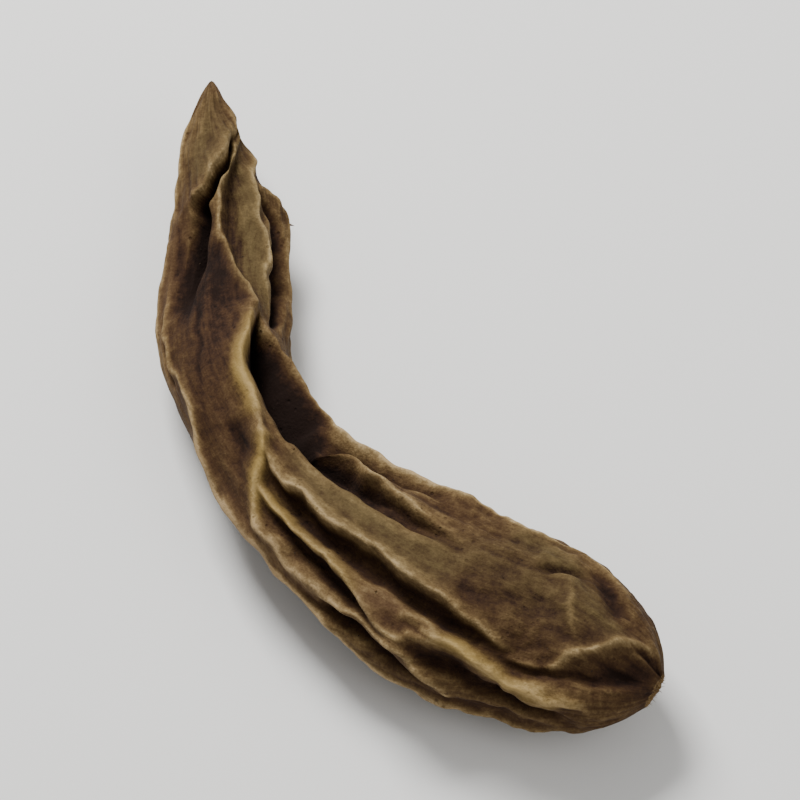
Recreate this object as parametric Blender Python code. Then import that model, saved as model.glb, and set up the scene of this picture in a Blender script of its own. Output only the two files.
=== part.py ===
"""Dried stemona root: one shrivelled, curved tuberous root, modelled as a single closed solid.

The root lies on its side. Its blunt broken end points to +X and -Y, its thin tip to -X and +Y.
A smooth body of changing cross section follows a curved centreline. The folds that drying
left in the skin are raised or sunk from that body along their own paths.

Two numbers place a point on the skin: the distance along the centreline, from the broken end at
-1.4 to the tip at 50, and the angle around it, 0 on the inner side of the bend, 90 on top, 180 on
the outer side and 270 underneath.
"""

import math
from typing import NamedTuple

import bpy
import numpy as np
from mathutils import Vector, noise

# Driving dimensions, in millimetres
MM = 0.001
STARTS_AT = -1.4         # along the centreline, at the broken end
ENDS_AT = 50.0           # along the centreline, at the tip
TIP_CLOSES_AT = 49.6     # the last ring, which the point of the tip closes
DEEPEST = 0.85           # deepest fold, as a share of the smallest half size
FOLD_GAIN = 1.15         # mean strength of the folds
FOLD_CHANGE = 0.35       # how far that strength wanders
DRIFT = 0.33             # how far a fold wanders off its path
FINEST_FOLD = 0.55       # smallest half width of a fold
WRINKLE_HEIGHT = 0.15
CREST_ROUNDING = 0.25    # radius at the top of a crest, as a share of its half width

# Faces
RINGS = 82
RING_POINTS = 68
END_CROWDING = 0.55      # how much closer the rings stand at both ends, as a share of their mean spacing
PATH_PARTS = 4           # straight parts between two stations of a fold's path

# Centreline: distance along, x, y, z
LINE = (
    (-1.4, 14.2, -18.7, 4.1), (0.0, 13.0, -18.0, 4.2), (3.0, 10.5, -16.6, 4.2),
    (6.0, 7.9, -15.3, 4.0), (12.0, 2.6, -12.9, 4.15), (18.0, -2.1, -9.2, 3.8),
    (24.0, -6.2, -4.8, 3.6), (30.0, -9.0, 0.4, 3.7), (36.0, -9.9, 6.2, 3.1),
    (42.0, -9.8, 12.1, 3.3), (46.0, -10.5, 16.1, 4.1), (50.0, -10.8, 20.5, 5.1),
)

# Half sizes of the smooth body: distance along, towards inner side, outer side, top, underside
SIZES = (
    (-1.4, 0.5, 1.7, 1.0, 0.9), (-0.7, 1.5, 3.0, 1.7, 1.6), (0.3, 2.6, 4.0, 2.3, 2.2),
    (1.5, 3.2, 4.6, 2.7, 2.7), (3.2, 4.0, 5.0, 3.1, 3.2), (6.3, 4.8, 5.3, 3.4, 3.5),
    (10.0, 4.85, 5.6, 3.5, 3.7), (14.0, 4.9, 5.4, 3.4, 3.6), (18.0, 4.1, 4.75, 3.2, 3.5),
    (21.0, 3.5, 4.3, 3.1, 3.4), (24.5, 3.0, 3.85, 3.0, 3.3), (28.0, 2.8, 3.5, 2.9, 3.3),
    (31.5, 3.1, 3.6, 2.8, 3.2), (35.0, 3.45, 3.5, 2.6, 3.1), (40.0, 3.1, 2.9, 2.3, 2.7),
    (42.0, 3.0, 2.65, 2.1, 2.4), (44.0, 1.95, 2.3, 1.8, 2.0), (46.0, 1.5, 1.85, 1.5, 1.6),
    (48.0, 0.95, 1.2, 1.1, 1.1), (49.5, 0.35, 0.45, 0.5, 0.5), (50.0, 0.05, 0.05, 0.05, 0.05),
)

# Broken end: share of its outline, height over the plane of that outline
END_FACE = ((0.72, 0.05), (0.38, -0.12))
END_CENTRE = -0.05
END_ROUGHNESS = 0.15     # of the torn fibres

# Strength of the fine wrinkles: distance along, share
WRINKLE_FADE = ((-1.4, 0.5), (1.0, 1.0), (24.0, 0.8), (30.0, 0.5), (44.0, 0.6), (49.0, 0.3), (50.0, 0.1))

CREST, SWELL, CHANNEL = "crest", "swell", "channel"


class Fold(NamedTuple):
    """A fold of the skin, raised or sunk along a path."""

    name: str
    shape: str
    lean: float     # half width of the outer flank over that of the inner one
    path: tuple     # distance along, degrees around, rise, half width


LOWER_FOLDS = (
    Fold("inner rim", CREST, 1.2, (
        (0.3, 42, 0.1, 0.6), (2, 36, 0.3, 0.7), (4.2, 28, 0.4, 0.7), (6, 28, 0.45, 0.7),
        (9, 31, 0.5, 0.6), (12, 25, 0.5, 0.6), (14.8, 29, 0.55, 0.45), (18, 27, 0.6, 0.4),
        (21, 31, 0.65, 0.35), (23.7, 31, 0.7, 0.3), (26, 29, 0.75, 0.3), (28, 28, 0.75, 0.3),
        (30, 31, 0.7, 0.3), (31.3, 41, 0.6, 0.3), (32.6, 57, 0.45, 0.28), (33.6, 69, 0.2, 0.28))),
    Fold("second channel", CHANNEL, 1.0, (
        (14.5, 42, 0, 0.4), (16.5, 38, -0.4, 0.4), (18.5, 38, -0.65, 0.4), (20.2, 42, -0.9, 0.42),
        (22, 45, -1.0, 0.45), (23.5, 47, -0.8, 0.5), (25, 50, -0.2, 0.5))),
    Fold("channel ridge", CREST, 1.0, (
        (14, 66, 0, 0.5), (15.6, 67, 0.4, 0.5), (17.8, 64, 0.5, 0.45), (19.8, 60, 0.5, 0.4),
        (21.4, 57, 0.35, 0.4), (22.8, 55, 0.15, 0.4), (24.2, 54, 0, 0.4))),
    Fold("long channel", CHANNEL, 1.0, (
        (10.5, 78, 0, 0.4), (14.2, 76, -0.6, 0.5), (17, 76, -1.0, 0.55), (19.4, 74, -1.4, 0.6),
        (21.5, 72, -1.8, 0.7), (23.4, 68, -2.2, 1.0), (25, 65.5, -2.7, 1.3), (27, 64, -3.1, 1.4),
        (29, 62, -3.1, 1.4), (30.6, 62, -2.9, 1.1), (32.1, 66, -2.1, 0.65), (33.6, 71, 0, 0.35))),
    Fold("main crest", CREST, 0.7, (
        (7.2, 126, 0.2, 0.5), (9, 118, 0.65, 0.55), (11.6, 111, 0.9, 0.6), (14, 107, 0.95, 0.6),
        (17.6, 108, 0.95, 0.6), (20.7, 109, 0.85, 0.55), (22.4, 113, 0.7, 0.5),
        (24.2, 112, 0.3, 0.4))),
    Fold("dark furrow", CHANNEL, 1.1, (
        (7.3, 132, -0.1, 0.35), (9.4, 127, -0.5, 0.5), (12.6, 119.5, -0.75, 0.6),
        (16.7, 118, -0.85, 0.55), (20, 119, -0.85, 0.5), (22, 120, -0.8, 0.45),
        (23.6, 118, -0.3, 0.35))),
    Fold("second crest", CREST, 1.0, (
        (12.1, 146, 0.3, 0.4), (13.5, 143, 0.6, 0.4), (15.1, 136, 0.65, 0.4), (16.1, 130, 0.7, 0.45),
        (18.5, 129, 0.7, 0.45), (21.1, 131, 0.7, 0.45), (22.4, 131, 0.5, 0.4),
        (23.6, 128, 0.2, 0.35))),
    Fold("lower furrow", CHANNEL, 1.0, (
        (13, 151, -0.2, 0.35), (14.6, 147, -0.55, 0.4), (16.8, 141.5, -0.65, 0.4),
        (20.1, 141, -0.55, 0.4), (22, 143, -0.1, 0.35))),
    Fold("third crest", CREST, 1.0, (
        (9.2, 184, 0.2, 0.4), (10.4, 168, 0.5, 0.4), (11.4, 157, 0.6, 0.4), (12.7, 152, 0.6, 0.4),
        (15.2, 152, 0.6, 0.4), (18, 154, 0.55, 0.45), (20, 155, 0.5, 0.4), (21.8, 155, 0.4, 0.35))),
    Fold("loop hollow", CHANNEL, 1.0, (
        (10.3, 180, 0, 0.35), (11.7, 174, -0.5, 0.45), (13.6, 168, -0.6, 0.5), (15.4, 165, -0.55, 0.4),
        (16.6, 163, 0, 0.35))),
    Fold("outer rim", CREST, 1.5, (
        (0.6, 205, 0.1, 0.4), (4, 202, 0.35, 0.5), (7, 197, 0.45, 0.5), (9.5, 196, 0.5, 0.45),
        (11.5, 195, 0.5, 0.45), (14.3, 187, 0.5, 0.4), (16.1, 178, 0.5, 0.4), (19.1, 171, 0.5, 0.4),
        (21.4, 168, 0.5, 0.4), (23.4, 170, 0.5, 0.4), (25.1, 173, 0.5, 0.4), (27.2, 166, 0.45, 0.35),
        (28.6, 153, 0.4, 0.35), (30, 147, 0.4, 0.35), (31.4, 152, 0.35, 0.35), (33.3, 157, 0.35, 0.35),
        (35, 156, 0.35, 0.35), (37, 158, 0.25, 0.35), (39.4, 158, 0.1, 0.35))),
    Fold("yellow crest", CREST, 1.0, (
        (0.3, 161, 0.2, 0.5), (1.6, 153, 0.5, 0.5), (3.4, 150, 0.75, 0.5), (5.3, 149, 0.85, 0.5),
        (6.8, 145, 0.85, 0.5), (9, 140, 0.8, 0.45), (10.2, 137, 0.7, 0.4), (11.4, 136, 0.3, 0.35))),
    Fold("crease over yellow crest", CHANNEL, 1.0, (
        (0.4, 126, -0.15, 0.3), (1.4, 128, -0.35, 0.3), (2.6, 132, -0.4, 0.26), (3.8, 136, -0.45, 0.26),
        (5.4, 138, -0.45, 0.26), (7, 138, -0.4, 0.26), (8.6, 134, 0, 0.26))),
    Fold("groove under yellow crest", CHANNEL, 1.0, (
        (1.2, 186, 0, 0.4), (2.8, 173, -0.45, 0.5), (4.3, 170, -0.65, 0.55), (6.1, 168, -0.7, 0.55),
        (7.5, 165, -0.65, 0.5), (9.2, 158, -0.6, 0.45), (11.3, 148, -0.2, 0.35))),
    Fold("end ridge", CREST, 0.8, (
        (-0.9, 62, 0.1, 0.35), (0.2, 82, 0.35, 0.35), (1.3, 97, 0.45, 0.35), (2.4, 112, 0.45, 0.35),
        (3.2, 124, 0.35, 0.3), (3.9, 134, 0.1, 0.3))),
    Fold("cross ridge", CREST, 1.0, (
        (5.4, 62, 0.05, 0.5), (4.6, 76, 0.2, 0.5), (4.0, 90, 0.28, 0.5), (3.4, 102, 0.2, 0.5),
        (2.4, 112, 0.05, 0.5))),
    Fold("end dimple", SWELL, 1.0, (
        (4.6, 38, -0.2, 0.6), (3.5, 46, -0.45, 0.7), (2.3, 60, -0.35, 0.6))),
    Fold("end hollow", SWELL, 1.0, (
        (2.0, 125, -0.3, 0.6), (1.2, 118, -0.65, 0.8), (0.3, 113, -0.85, 0.9),
        (-0.7, 108, -0.5, 0.8))),
)

UPPER_FOLDS = (
    Fold("lip hollow", SWELL, 1.0, (
        (24.4, 138, -0.1, 0.4), (25.4, 129, -0.3, 0.45), (26.4, 124, -0.28, 0.45),
        (27.3, 121, 0, 0.35))),
    Fold("mouth lip", CREST, 1.9, (
        (20.8, 156, 0.3, 0.35), (21.9, 152, 0.45, 0.4), (22.8, 142, 0.6, 0.45), (23.6, 125, 0.8, 0.45),
        (24.8, 110, 0.9, 0.45), (26.5, 103, 0.9, 0.45), (28.8, 96, 0.9, 0.45), (30.5, 90, 0.9, 0.45),
        (32, 82, 0.85, 0.4), (33.5, 74, 0.75, 0.4), (35.2, 73, 0.6, 0.35), (37.2, 83, 0.5, 0.35),
        (38.8, 95, 0.5, 0.35), (40, 103, 0.5, 0.35), (41.5, 107, 0.5, 0.3), (43, 104, 0.5, 0.3),
        (44.2, 94, 0.5, 0.3), (45.1, 80, 0.5, 0.3), (46.3, 54, 0.2, 0.3))),
    Fold("slit", CHANNEL, 1.0, (
        (36.2, 127, 0, 0.4), (37.6, 126, -0.35, 0.45), (38.8, 126, -0.7, 0.5), (40.1, 128, -1.1, 0.5),
        (41.7, 127, -1.3, 0.4), (43.2, 117, -1.3, 0.3), (45, 93, -1.0, 0.24), (46.5, 64, -0.4, 0.2),
        (47.4, 45, 0, 0.2))),
    Fold("dark valley", SWELL, 1.0, (
        (33.2, 132, 0, 0.8), (34.8, 133, -0.35, 1.0), (36.6, 134, -0.75, 1.15), (38.6, 132, -1.0, 1.1),
        (40.2, 132, -0.95, 0.85), (41.6, 131, -0.6, 0.55), (42.8, 125, -0.1, 0.4))),
    Fold("tip flap", CREST, 2.6, (
        (37.8, 150, 0.1, 0.35), (39.2, 146, 0.4, 0.35), (40.6, 142, 0.6, 0.35), (42.2, 137, 0.65, 0.3),
        (43.4, 127, 0.7, 0.3), (44.7, 107, 0.7, 0.28), (46.1, 81, 0.6, 0.26), (47.2, 50, 0.4, 0.26),
        (48.4, 40, 0.1, 0.26))),
    Fold("outer rim, upper arm", CREST, 1.2, (
        (31.4, 184, 0.1, 0.4), (33.5, 183, 0.3, 0.4), (35.5, 178, 0.35, 0.4), (39.1, 170, 0.35, 0.4),
        (41.5, 172, 0.35, 0.4), (43.5, 172, 0.3, 0.35), (45.4, 164, 0.25, 0.3),
        (47.5, 163, 0.15, 0.3), (48.7, 140, 0.05, 0.3))),
    Fold("middle trough", SWELL, 1.0, (
        (37.4, 76, -0.1, 0.5), (39, 82, -0.4, 0.5), (40.8, 87, -0.5, 0.5), (42.4, 86, -0.5, 0.45),
        (44.3, 72, -0.2, 0.4))),
    Fold("centre ridge", CREST, 1.0, (
        (35.2, 56, 0.1, 0.4), (37.6, 51, 0.4, 0.4), (39.1, 48, 0.5, 0.4), (40.4, 53, 0.55, 0.4),
        (41.2, 60, 0.55, 0.4), (42.4, 63, 0.5, 0.4), (43.8, 51, 0.5, 0.4), (45.2, 26, 0.5, 0.35),
        (46.4, 28, 0.15, 0.3))),
    Fold("third channel", CHANNEL, 1.0, (
        (32.8, 42, -0.1, 0.3), (34.5, 36, -0.9, 0.5), (36.7, 29, -1.3, 0.6), (38.9, 26, -1.3, 0.6),
        (40.3, 28, -1.25, 0.55), (41.5, 37, -1.0, 0.4), (42.7, 54, -0.1, 0.3))),
    Fold("inner rim, upper arm", CREST, 1.0, (
        (33.2, 12, 0.1, 0.35), (36, 6, 0.3, 0.35), (38.5, 4, 0.3, 0.35), (41.2, 5, 0.3, 0.35),
        (42.3, 11, 0.35, 0.35), (42.9, 31, 0.4, 0.3), (43.2, 50, 0.1, 0.3))),
)

UNDER_FOLDS = (
    Fold("under crest 1", CREST, 1.0, (
        (2, 222, 0.2, 0.7), (8, 226, 0.5, 0.8), (15, 224, 0.3, 0.7), (23, 218, 0.2, 0.6),
        (31, 216, 0.3, 0.6), (38, 207, 0.35, 0.5), (44, 214, 0.2, 0.4))),
    Fold("under furrow 1", CHANNEL, 1.0, (
        (3, 240, -0.1, 0.5), (7, 243, -0.6, 0.6), (13, 236, -0.8, 0.6), (20, 230, -0.9, 0.6),
        (27, 228, -0.8, 0.55), (34, 228, -0.6, 0.5), (41, 224, -0.3, 0.4), (45, 226, 0, 0.3))),
    Fold("under crest 2", CREST, 1.0, (
        (1.5, 252, 0.2, 0.7), (6, 258, 0.6, 0.9), (12, 255, 0.7, 0.9), (18, 246, 0.6, 0.8),
        (25, 243, 0.5, 0.7), (32, 247, 0.6, 0.7), (39, 243, 0.5, 0.6), (45, 250, 0.2, 0.4))),
    Fold("under furrow 2", CHANNEL, 1.0, (
        (8, 272, -0.1, 0.5), (12, 272, -0.5, 0.6), (18, 262, -1.0, 0.7), (24, 259, -1.2, 0.8),
        (30, 263, -1.1, 0.75), (35, 265, -0.7, 0.6), (40, 262, -0.3, 0.4))),
    Fold("under crest 3", CREST, 1.0, (
        (3, 282, 0.3, 0.8), (9, 287, 0.6, 0.9), (16, 282, 0.6, 0.8), (23, 280, 0.6, 0.7),
        (29, 284, 0.6, 0.7), (36, 287, 0.6, 0.6), (42, 280, 0.4, 0.5), (46, 286, 0.1, 0.4))),
    Fold("under furrow 3", CHANNEL, 1.0, (
        (2, 300, -0.1, 0.4), (6, 306, -0.6, 0.5), (12, 307, -0.7, 0.6), (19, 300, -0.6, 0.5),
        (24, 303, -0.2, 0.4))),
    Fold("under furrow 4", CHANNEL, 1.0, (
        (26, 305, -0.1, 0.4), (31, 308, -0.7, 0.5), (37, 309, -0.7, 0.5), (43, 301, -0.3, 0.4))),
    Fold("under crest 4", CREST, 1.0, (
        (1.5, 322, 0.2, 0.6), (7, 328, 0.5, 0.7), (14, 325, 0.6, 0.8), (21, 321, 0.6, 0.7),
        (28, 327, 0.5, 0.6), (35, 331, 0.5, 0.6), (42, 322, 0.3, 0.5))),
    Fold("under furrow 5", CHANNEL, 1.0, (
        (4, 345, -0.1, 0.5), (9, 349, -0.6, 0.6), (16, 346, -0.8, 0.6), (22, 345, -0.9, 0.55),
        (29, 350, -0.8, 0.5), (35, 347, -0.4, 0.4), (39, 345, 0, 0.3))),
    Fold("inner crest", CREST, 1.0, (
        (2.5, 3, 0.1, 0.5), (8, 5, 0.35, 0.6), (15, 3, 0.45, 0.6), (21, 6, 0.4, 0.5),
        (27, 10, 0.35, 0.5), (31, 14, 0.1, 0.4))),
)


class Grain(NamedTuple):
    """A seamless noise over the skin, with the length and width of its marks in millimetres."""

    long: float
    wide: float
    start: float    # where along its own axis the noise is read


DRIFT_ALONG = Grain(2.4, 2.0, 5.0)
DRIFT_AROUND = Grain(2.2, 2.0, 41.0)
CHANGE = Grain(3.0, 2.0, 77.0)
WRINKLES = Grain(4.5, 1.3, 3.1)
GRAIN_RADIUS = 4.2       # of the tube that the noise is wrapped on
OCTAVES, LACUNARITY = 3, 2.1


def smooth_rows(rows, at):
    """Read the values of rows at some stations, on a smooth curve through them."""
    rows = np.asarray(rows, float)
    station, values = rows[:, 0], rows[:, 1:]
    slopes = np.diff(values, axis=0) / np.diff(station)[:, None]
    slopes = np.vstack([slopes[:1], (slopes[1:] + slopes[:-1]) / 2, slopes[-1:]])
    at = np.atleast_1d(np.asarray(at, float))
    i = np.clip(np.searchsorted(station, at, side="right") - 1, 0, len(station) - 2)
    step = (station[i + 1] - station[i])[:, None]
    t = np.clip((at - station[i])[:, None] / step, 0, 1)
    return ((1 + 2 * t) * (1 - t) ** 2 * values[i] + t * (1 - t) ** 2 * step * slopes[i]
            + t * t * (3 - 2 * t) * values[i + 1] + t * t * (t - 1) * step * slopes[i + 1])


def cross_axes(along):
    """Centre, direction, up and inner side of the centreline at each station."""
    step = 0.01
    centre = smooth_rows(LINE, along)
    ahead = smooth_rows(LINE, np.clip(along + step, STARTS_AT, ENDS_AT))
    forward = ahead - smooth_rows(LINE, np.clip(along - step, STARTS_AT, ENDS_AT))
    forward /= np.linalg.norm(forward, axis=1)[:, None]
    up = np.array([0, 0, 1.0]) - forward * forward[:, 2:3]
    up /= np.linalg.norm(up, axis=1)[:, None]
    return centre, forward, up, np.cross(forward, up)


def smooth_body(along, around):
    """Points of the body without its folds, their outward directions, and mm per radian around."""
    centre, _, up, side = cross_axes(along)
    inner, outer, top, under = (size[:, None] for size in smooth_rows(SIZES, along).T)
    cos, sin = np.cos(around)[None, :], np.sin(around)[None, :]
    wide = np.where(cos > 0, inner, outer)
    high = np.where(sin > 0, top, under)
    out_side, out_up = cos / wide, sin / high
    length = np.hypot(out_side, out_up)
    pace = np.hypot(wide * sin, high * cos)
    side, up = side[:, None], up[:, None]
    points = centre[:, None] + (wide * cos)[..., None] * side + (high * sin)[..., None] * up
    outward = (out_side / length)[..., None] * side + (out_up / length)[..., None] * up
    return points, outward, pace


def read_grain(grain, along, around, ridged=False):
    """Noise of one grain at every point of the skin."""
    radius = GRAIN_RADIUS / grain.wide
    ring = [(math.cos(angle) * radius, math.sin(angle) * radius) for angle in around]
    values = np.empty((len(along), len(around)))
    for row, station in enumerate(along):
        for column, (x, y) in enumerate(ring):
            place = Vector((station / grain.long + grain.start, x, y))
            if ridged:
                values[row, column] = noise.ridged_multi_fractal(place, 1.0, LACUNARITY, OCTAVES, 1.0, 2.0)
            else:
                values[row, column] = noise.fractal(place, 1.0, LACUNARITY, OCTAVES)
    return values


def fold_section(shape, q):
    """Cross section of a fold, 1 on its path, at a distance of q half widths from it."""
    if shape == CREST:
        return np.exp(CREST_ROUNDING - np.sqrt(q * q + CREST_ROUNDING ** 2))
    if shape == SWELL:
        return np.exp(-q * q)
    return np.exp(-np.abs(q) ** 3)


def fold_height(fold, along, around, pace, drift):
    """First and last row that a fold reaches, and the height that it adds there."""
    stations = np.arange(len(fold.path), dtype=float)
    parts = np.linspace(0, stations[-1], (len(stations) - 1) * PATH_PARTS + 1)
    path = smooth_rows(np.column_stack([stations, np.array(fold.path, float)]), parts)
    path[:, 3] = np.maximum(path[:, 3], FINEST_FOLD)
    reach = 5 * path[:, 3].max() * max(1.0, fold.lean)
    first, last = np.searchsorted(along, (path[:, 0].min() - reach, path[:, 0].max() + reach))
    pace = pace[first:last]
    drift_along, drift_around = drift[0][first:last], drift[1][first:last]
    nearest = np.full(pace.shape, np.inf)
    rise, width = np.zeros_like(pace), np.ones_like(pace)
    for start, end in zip(path[:-1], path[1:]):
        turn = np.mod(around[None, :] - math.radians(start[1]) + math.pi, 2 * math.pi) - math.pi
        off_along = along[first:last, None] - start[0] + drift_along
        off_around = turn * pace + drift_around
        run_along = end[0] - start[0]
        run_around = math.radians(end[1] - start[1]) * pace
        t = (off_along * run_along + off_around * run_around) / (run_along ** 2 + run_around ** 2)
        t = np.clip(t, 0, 1)
        distance = np.hypot(off_along - t * run_along, off_around - t * run_around)
        nearer = distance < nearest
        nearest = np.where(nearer, distance, nearest)
        rise = np.where(nearer, start[2] + t * (end[2] - start[2]), rise)
        flank = np.where(run_along * off_around > run_around * off_along, fold.lean, 1.0)
        width = np.where(nearer, flank * (start[3] + t * (end[3] - start[3])), width)
    return first, last, rise * fold_section(fold.shape, nearest / width)


def skin_height(along, around, pace):
    """Height of the folded skin over the smooth body."""
    drift = (DRIFT * read_grain(DRIFT_ALONG, along, around),
             DRIFT * read_grain(DRIFT_AROUND, along, around))
    height = np.zeros((len(along), len(around)))
    for fold in LOWER_FOLDS + UPPER_FOLDS + UNDER_FOLDS:
        first, last, added = fold_height(fold, along, around, pace, drift)
        height[first:last] += added
    height *= FOLD_GAIN + FOLD_CHANGE * read_grain(CHANGE, along, around)
    wrinkles = read_grain(WRINKLES, along, around, ridged=True)
    fade = smooth_rows(WRINKLE_FADE, along)
    height += WRINKLE_HEIGHT * fade * (wrinkles - wrinkles.mean())
    return np.maximum(height, -DEEPEST * smooth_rows(SIZES, along).min(axis=1)[:, None])


def skin_rings(along, around):
    """Points of the folded skin, ring by ring, flat where they would sink below the surface."""
    points, outward, pace = smooth_body(along, around)
    points = points + skin_height(along, around, pace)[..., None] * outward
    points[..., 2] = np.maximum(points[..., 2], 0.0)
    return points


def ring_stations():
    """Where the rings of the skin stand along the centreline, closer together at both ends."""
    share = np.linspace(0, 1, RINGS)
    share -= END_CROWDING * np.sin(2 * math.pi * share) / (2 * math.pi)
    return STARTS_AT + (TIP_CLOSES_AT - STARTS_AT) * share


def end_rings(outline):
    """Rings and centre of the broken end, rough with torn fibres."""
    middle = outline.mean(axis=0)
    out = -cross_axes(np.array([STARTS_AT]))[1][0]
    rings = []
    for share, height in END_FACE:
        ring = middle + share * (outline - middle)
        rough = np.array([noise.noise(Vector(2.5 * point)) for point in ring])
        rings.append(ring + (height + END_ROUGHNESS * rough)[:, None] * out)
    return rings, middle + END_CENTRE * out


def build_faces(rings):
    """Two triangles in each square of the skin and a fan at either end, with the two poles last.

    A square is split between the two corners that are nearer in height, so that its diagonal
    follows the folds.
    """
    corner = np.arange(rings.shape[0] * RING_POINTS).reshape(rings.shape[0], RING_POINTS)
    radius = np.linalg.norm(rings - rings.mean(axis=1, keepdims=True), axis=2)
    faces = []
    for i in range(rings.shape[0] - 1):
        for j in range(RING_POINTS):
            k = (j + 1) % RING_POINTS
            a, b, c, d = (int(corner[place]) for place in ((i, j), (i + 1, j), (i + 1, k), (i, k)))
            if abs(radius[i, j] - radius[i + 1, k]) < abs(radius[i + 1, j] - radius[i, k]):
                faces += [(a, b, c), (a, c, d)]
            else:
                faces += [(a, b, d), (b, c, d)]
    end_pole, tip_pole = corner.size, corner.size + 1
    for j in range(RING_POINTS):
        k = (j + 1) % RING_POINTS
        faces.append((end_pole, int(corner[0, j]), int(corner[0, k])))
        faces.append((tip_pole, int(corner[-1, k]), int(corner[-1, j])))
    return faces


def skin_material():
    """Dry, matt, brown skin."""
    material = bpy.data.materials.new("dried_root_skin")
    material.use_nodes = True
    shader = material.node_tree.nodes["Principled BSDF"]
    shader.inputs["Base Color"].default_value = (0.147, 0.095, 0.044, 1.0)
    shader.inputs["Roughness"].default_value = 0.75
    shader.inputs["Metallic"].default_value = 0.0
    return material


def build_root():
    """The whole root as one closed solid, centred on its box and resting at height 0."""
    along = ring_stations()
    around = np.linspace(0, 2 * math.pi, RING_POINTS, endpoint=False)
    rings = skin_rings(along, around)
    cap, end_pole = end_rings(rings[0])
    rings = np.concatenate([np.array(cap[::-1]), rings])
    tip_pole = smooth_rows(LINE, ENDS_AT)[0]
    points = np.vstack([rings.reshape(-1, 3), end_pole, tip_pole])
    points[:, :2] -= (points[:, :2].min(axis=0) + points[:, :2].max(axis=0)) / 2
    mesh = bpy.data.meshes.new("stemona_root")
    mesh.from_pydata((points * MM).tolist(), [], build_faces(rings))
    mesh.materials.append(skin_material())
    mesh.shade_smooth()
    root = bpy.data.objects.new("stemona_root", mesh)
    bpy.context.scene.collection.objects.link(root)
    return root


def main():
    """Clear the scene and build the root."""
    for leftover in list(bpy.data.objects):
        bpy.data.objects.remove(leftover)
    build_root()


main()
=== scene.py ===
"""Looks of a dried stemona root: its folded skin, its broken end and the loose growth on it.

The skin is one closed surface. A smooth body of changing cross section follows a curved
centreline, and the folds that drying left in the skin are raised or sunk from that body along
their own paths. Two numbers place a point on the skin: the distance along the centreline, from
the broken end at -1.4 to the tip at 50, and the angle around it, 0 on the inner side of the bend,
90 on top, 180 on the outer side and 270 underneath.

The form is worked out in millimetres, and every mesh is in metres.
"""

import logging
import math
from dataclasses import dataclass, field
from enum import Enum
from functools import partial
from typing import NamedTuple, Sequence

import bpy
import numpy as np
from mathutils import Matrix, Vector, noise


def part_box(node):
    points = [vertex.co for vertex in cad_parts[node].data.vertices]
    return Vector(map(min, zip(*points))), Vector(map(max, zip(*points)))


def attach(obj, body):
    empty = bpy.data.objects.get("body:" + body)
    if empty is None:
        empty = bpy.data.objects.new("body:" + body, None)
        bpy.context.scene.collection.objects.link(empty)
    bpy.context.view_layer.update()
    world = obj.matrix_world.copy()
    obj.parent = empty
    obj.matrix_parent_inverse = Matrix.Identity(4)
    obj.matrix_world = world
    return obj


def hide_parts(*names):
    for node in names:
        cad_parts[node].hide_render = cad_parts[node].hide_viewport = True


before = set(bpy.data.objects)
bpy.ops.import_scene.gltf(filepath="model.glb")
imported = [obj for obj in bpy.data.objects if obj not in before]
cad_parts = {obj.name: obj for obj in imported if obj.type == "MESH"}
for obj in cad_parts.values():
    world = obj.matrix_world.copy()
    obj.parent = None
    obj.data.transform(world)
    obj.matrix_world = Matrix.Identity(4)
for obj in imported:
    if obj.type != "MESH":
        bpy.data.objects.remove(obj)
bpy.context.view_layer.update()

LOG = logging.getLogger("stemona_root")

NODE = "stemona_root"
BODY = "root"
MM = 0.001
MM_PER_METRE = 1000
FULL_TURN = 2 * math.pi
LACUNARITY = 2.1
RIDGE_OFFSET = 1.0
RIDGE_GAIN = 2.0

Rows = tuple[tuple[float, ...], ...]


class FoldShape(Enum):
    """Cross section of a fold."""

    CREST = "sharp top with hollow flanks"
    SWELL = "soft bump or hollow"
    CHANNEL = "flat floor with steep walls"
    GORGE = "flat floor with sheer walls"


class Tint(Enum):
    """What a stain does to the colour of the skin."""

    # Shade stains carry the skin's own paler and darker tones, and also painted shade, painted shadows
    # and painted highlights.
    SHADE = "paler where it is positive, darker where it is negative"
    YELLOW = "yellow ochre of thin, rubbed skin"
    OLIVE = "green grey of thick skin"
    MAUVE = "pinkish brown of bruised skin"


CREST, SWELL, CHANNEL, GORGE = FoldShape
SHADE, YELLOW, OLIVE, MAUVE = Tint


@dataclass(frozen=True)
class Fold:
    """A fold of the skin, raised or sunk along a path.

    A station of the path holds the distance along, the degrees around, the rise and the half
    width. lean is the half width of the outer flank over that of the inner one. curl is how far
    the top leans over its neighbour, towards the inner side where it is positive.
    """

    name: str
    shape: FoldShape
    path: Rows
    lean: float = 1.0
    curl: float = 0.0


@dataclass(frozen=True)
class Stain:
    """A change of colour along a path, whose stations hold along, degrees, strength, half width."""

    tint: Tint
    path: Rows
    sharp: bool = False


@dataclass(frozen=True)
class Grain:
    """A seamless noise over the skin: length and width of its marks, and where it is read."""

    long: float
    wide: float
    start: float
    octaves: int = 3
    ridged: bool = False
    smoothness: float = 1.0


@dataclass(frozen=True)
class Wrinkle:
    """Wrinkles all over the skin: their height, and how much of it is left at a station."""

    height: float
    grain: Grain
    fade: Rows


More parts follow.
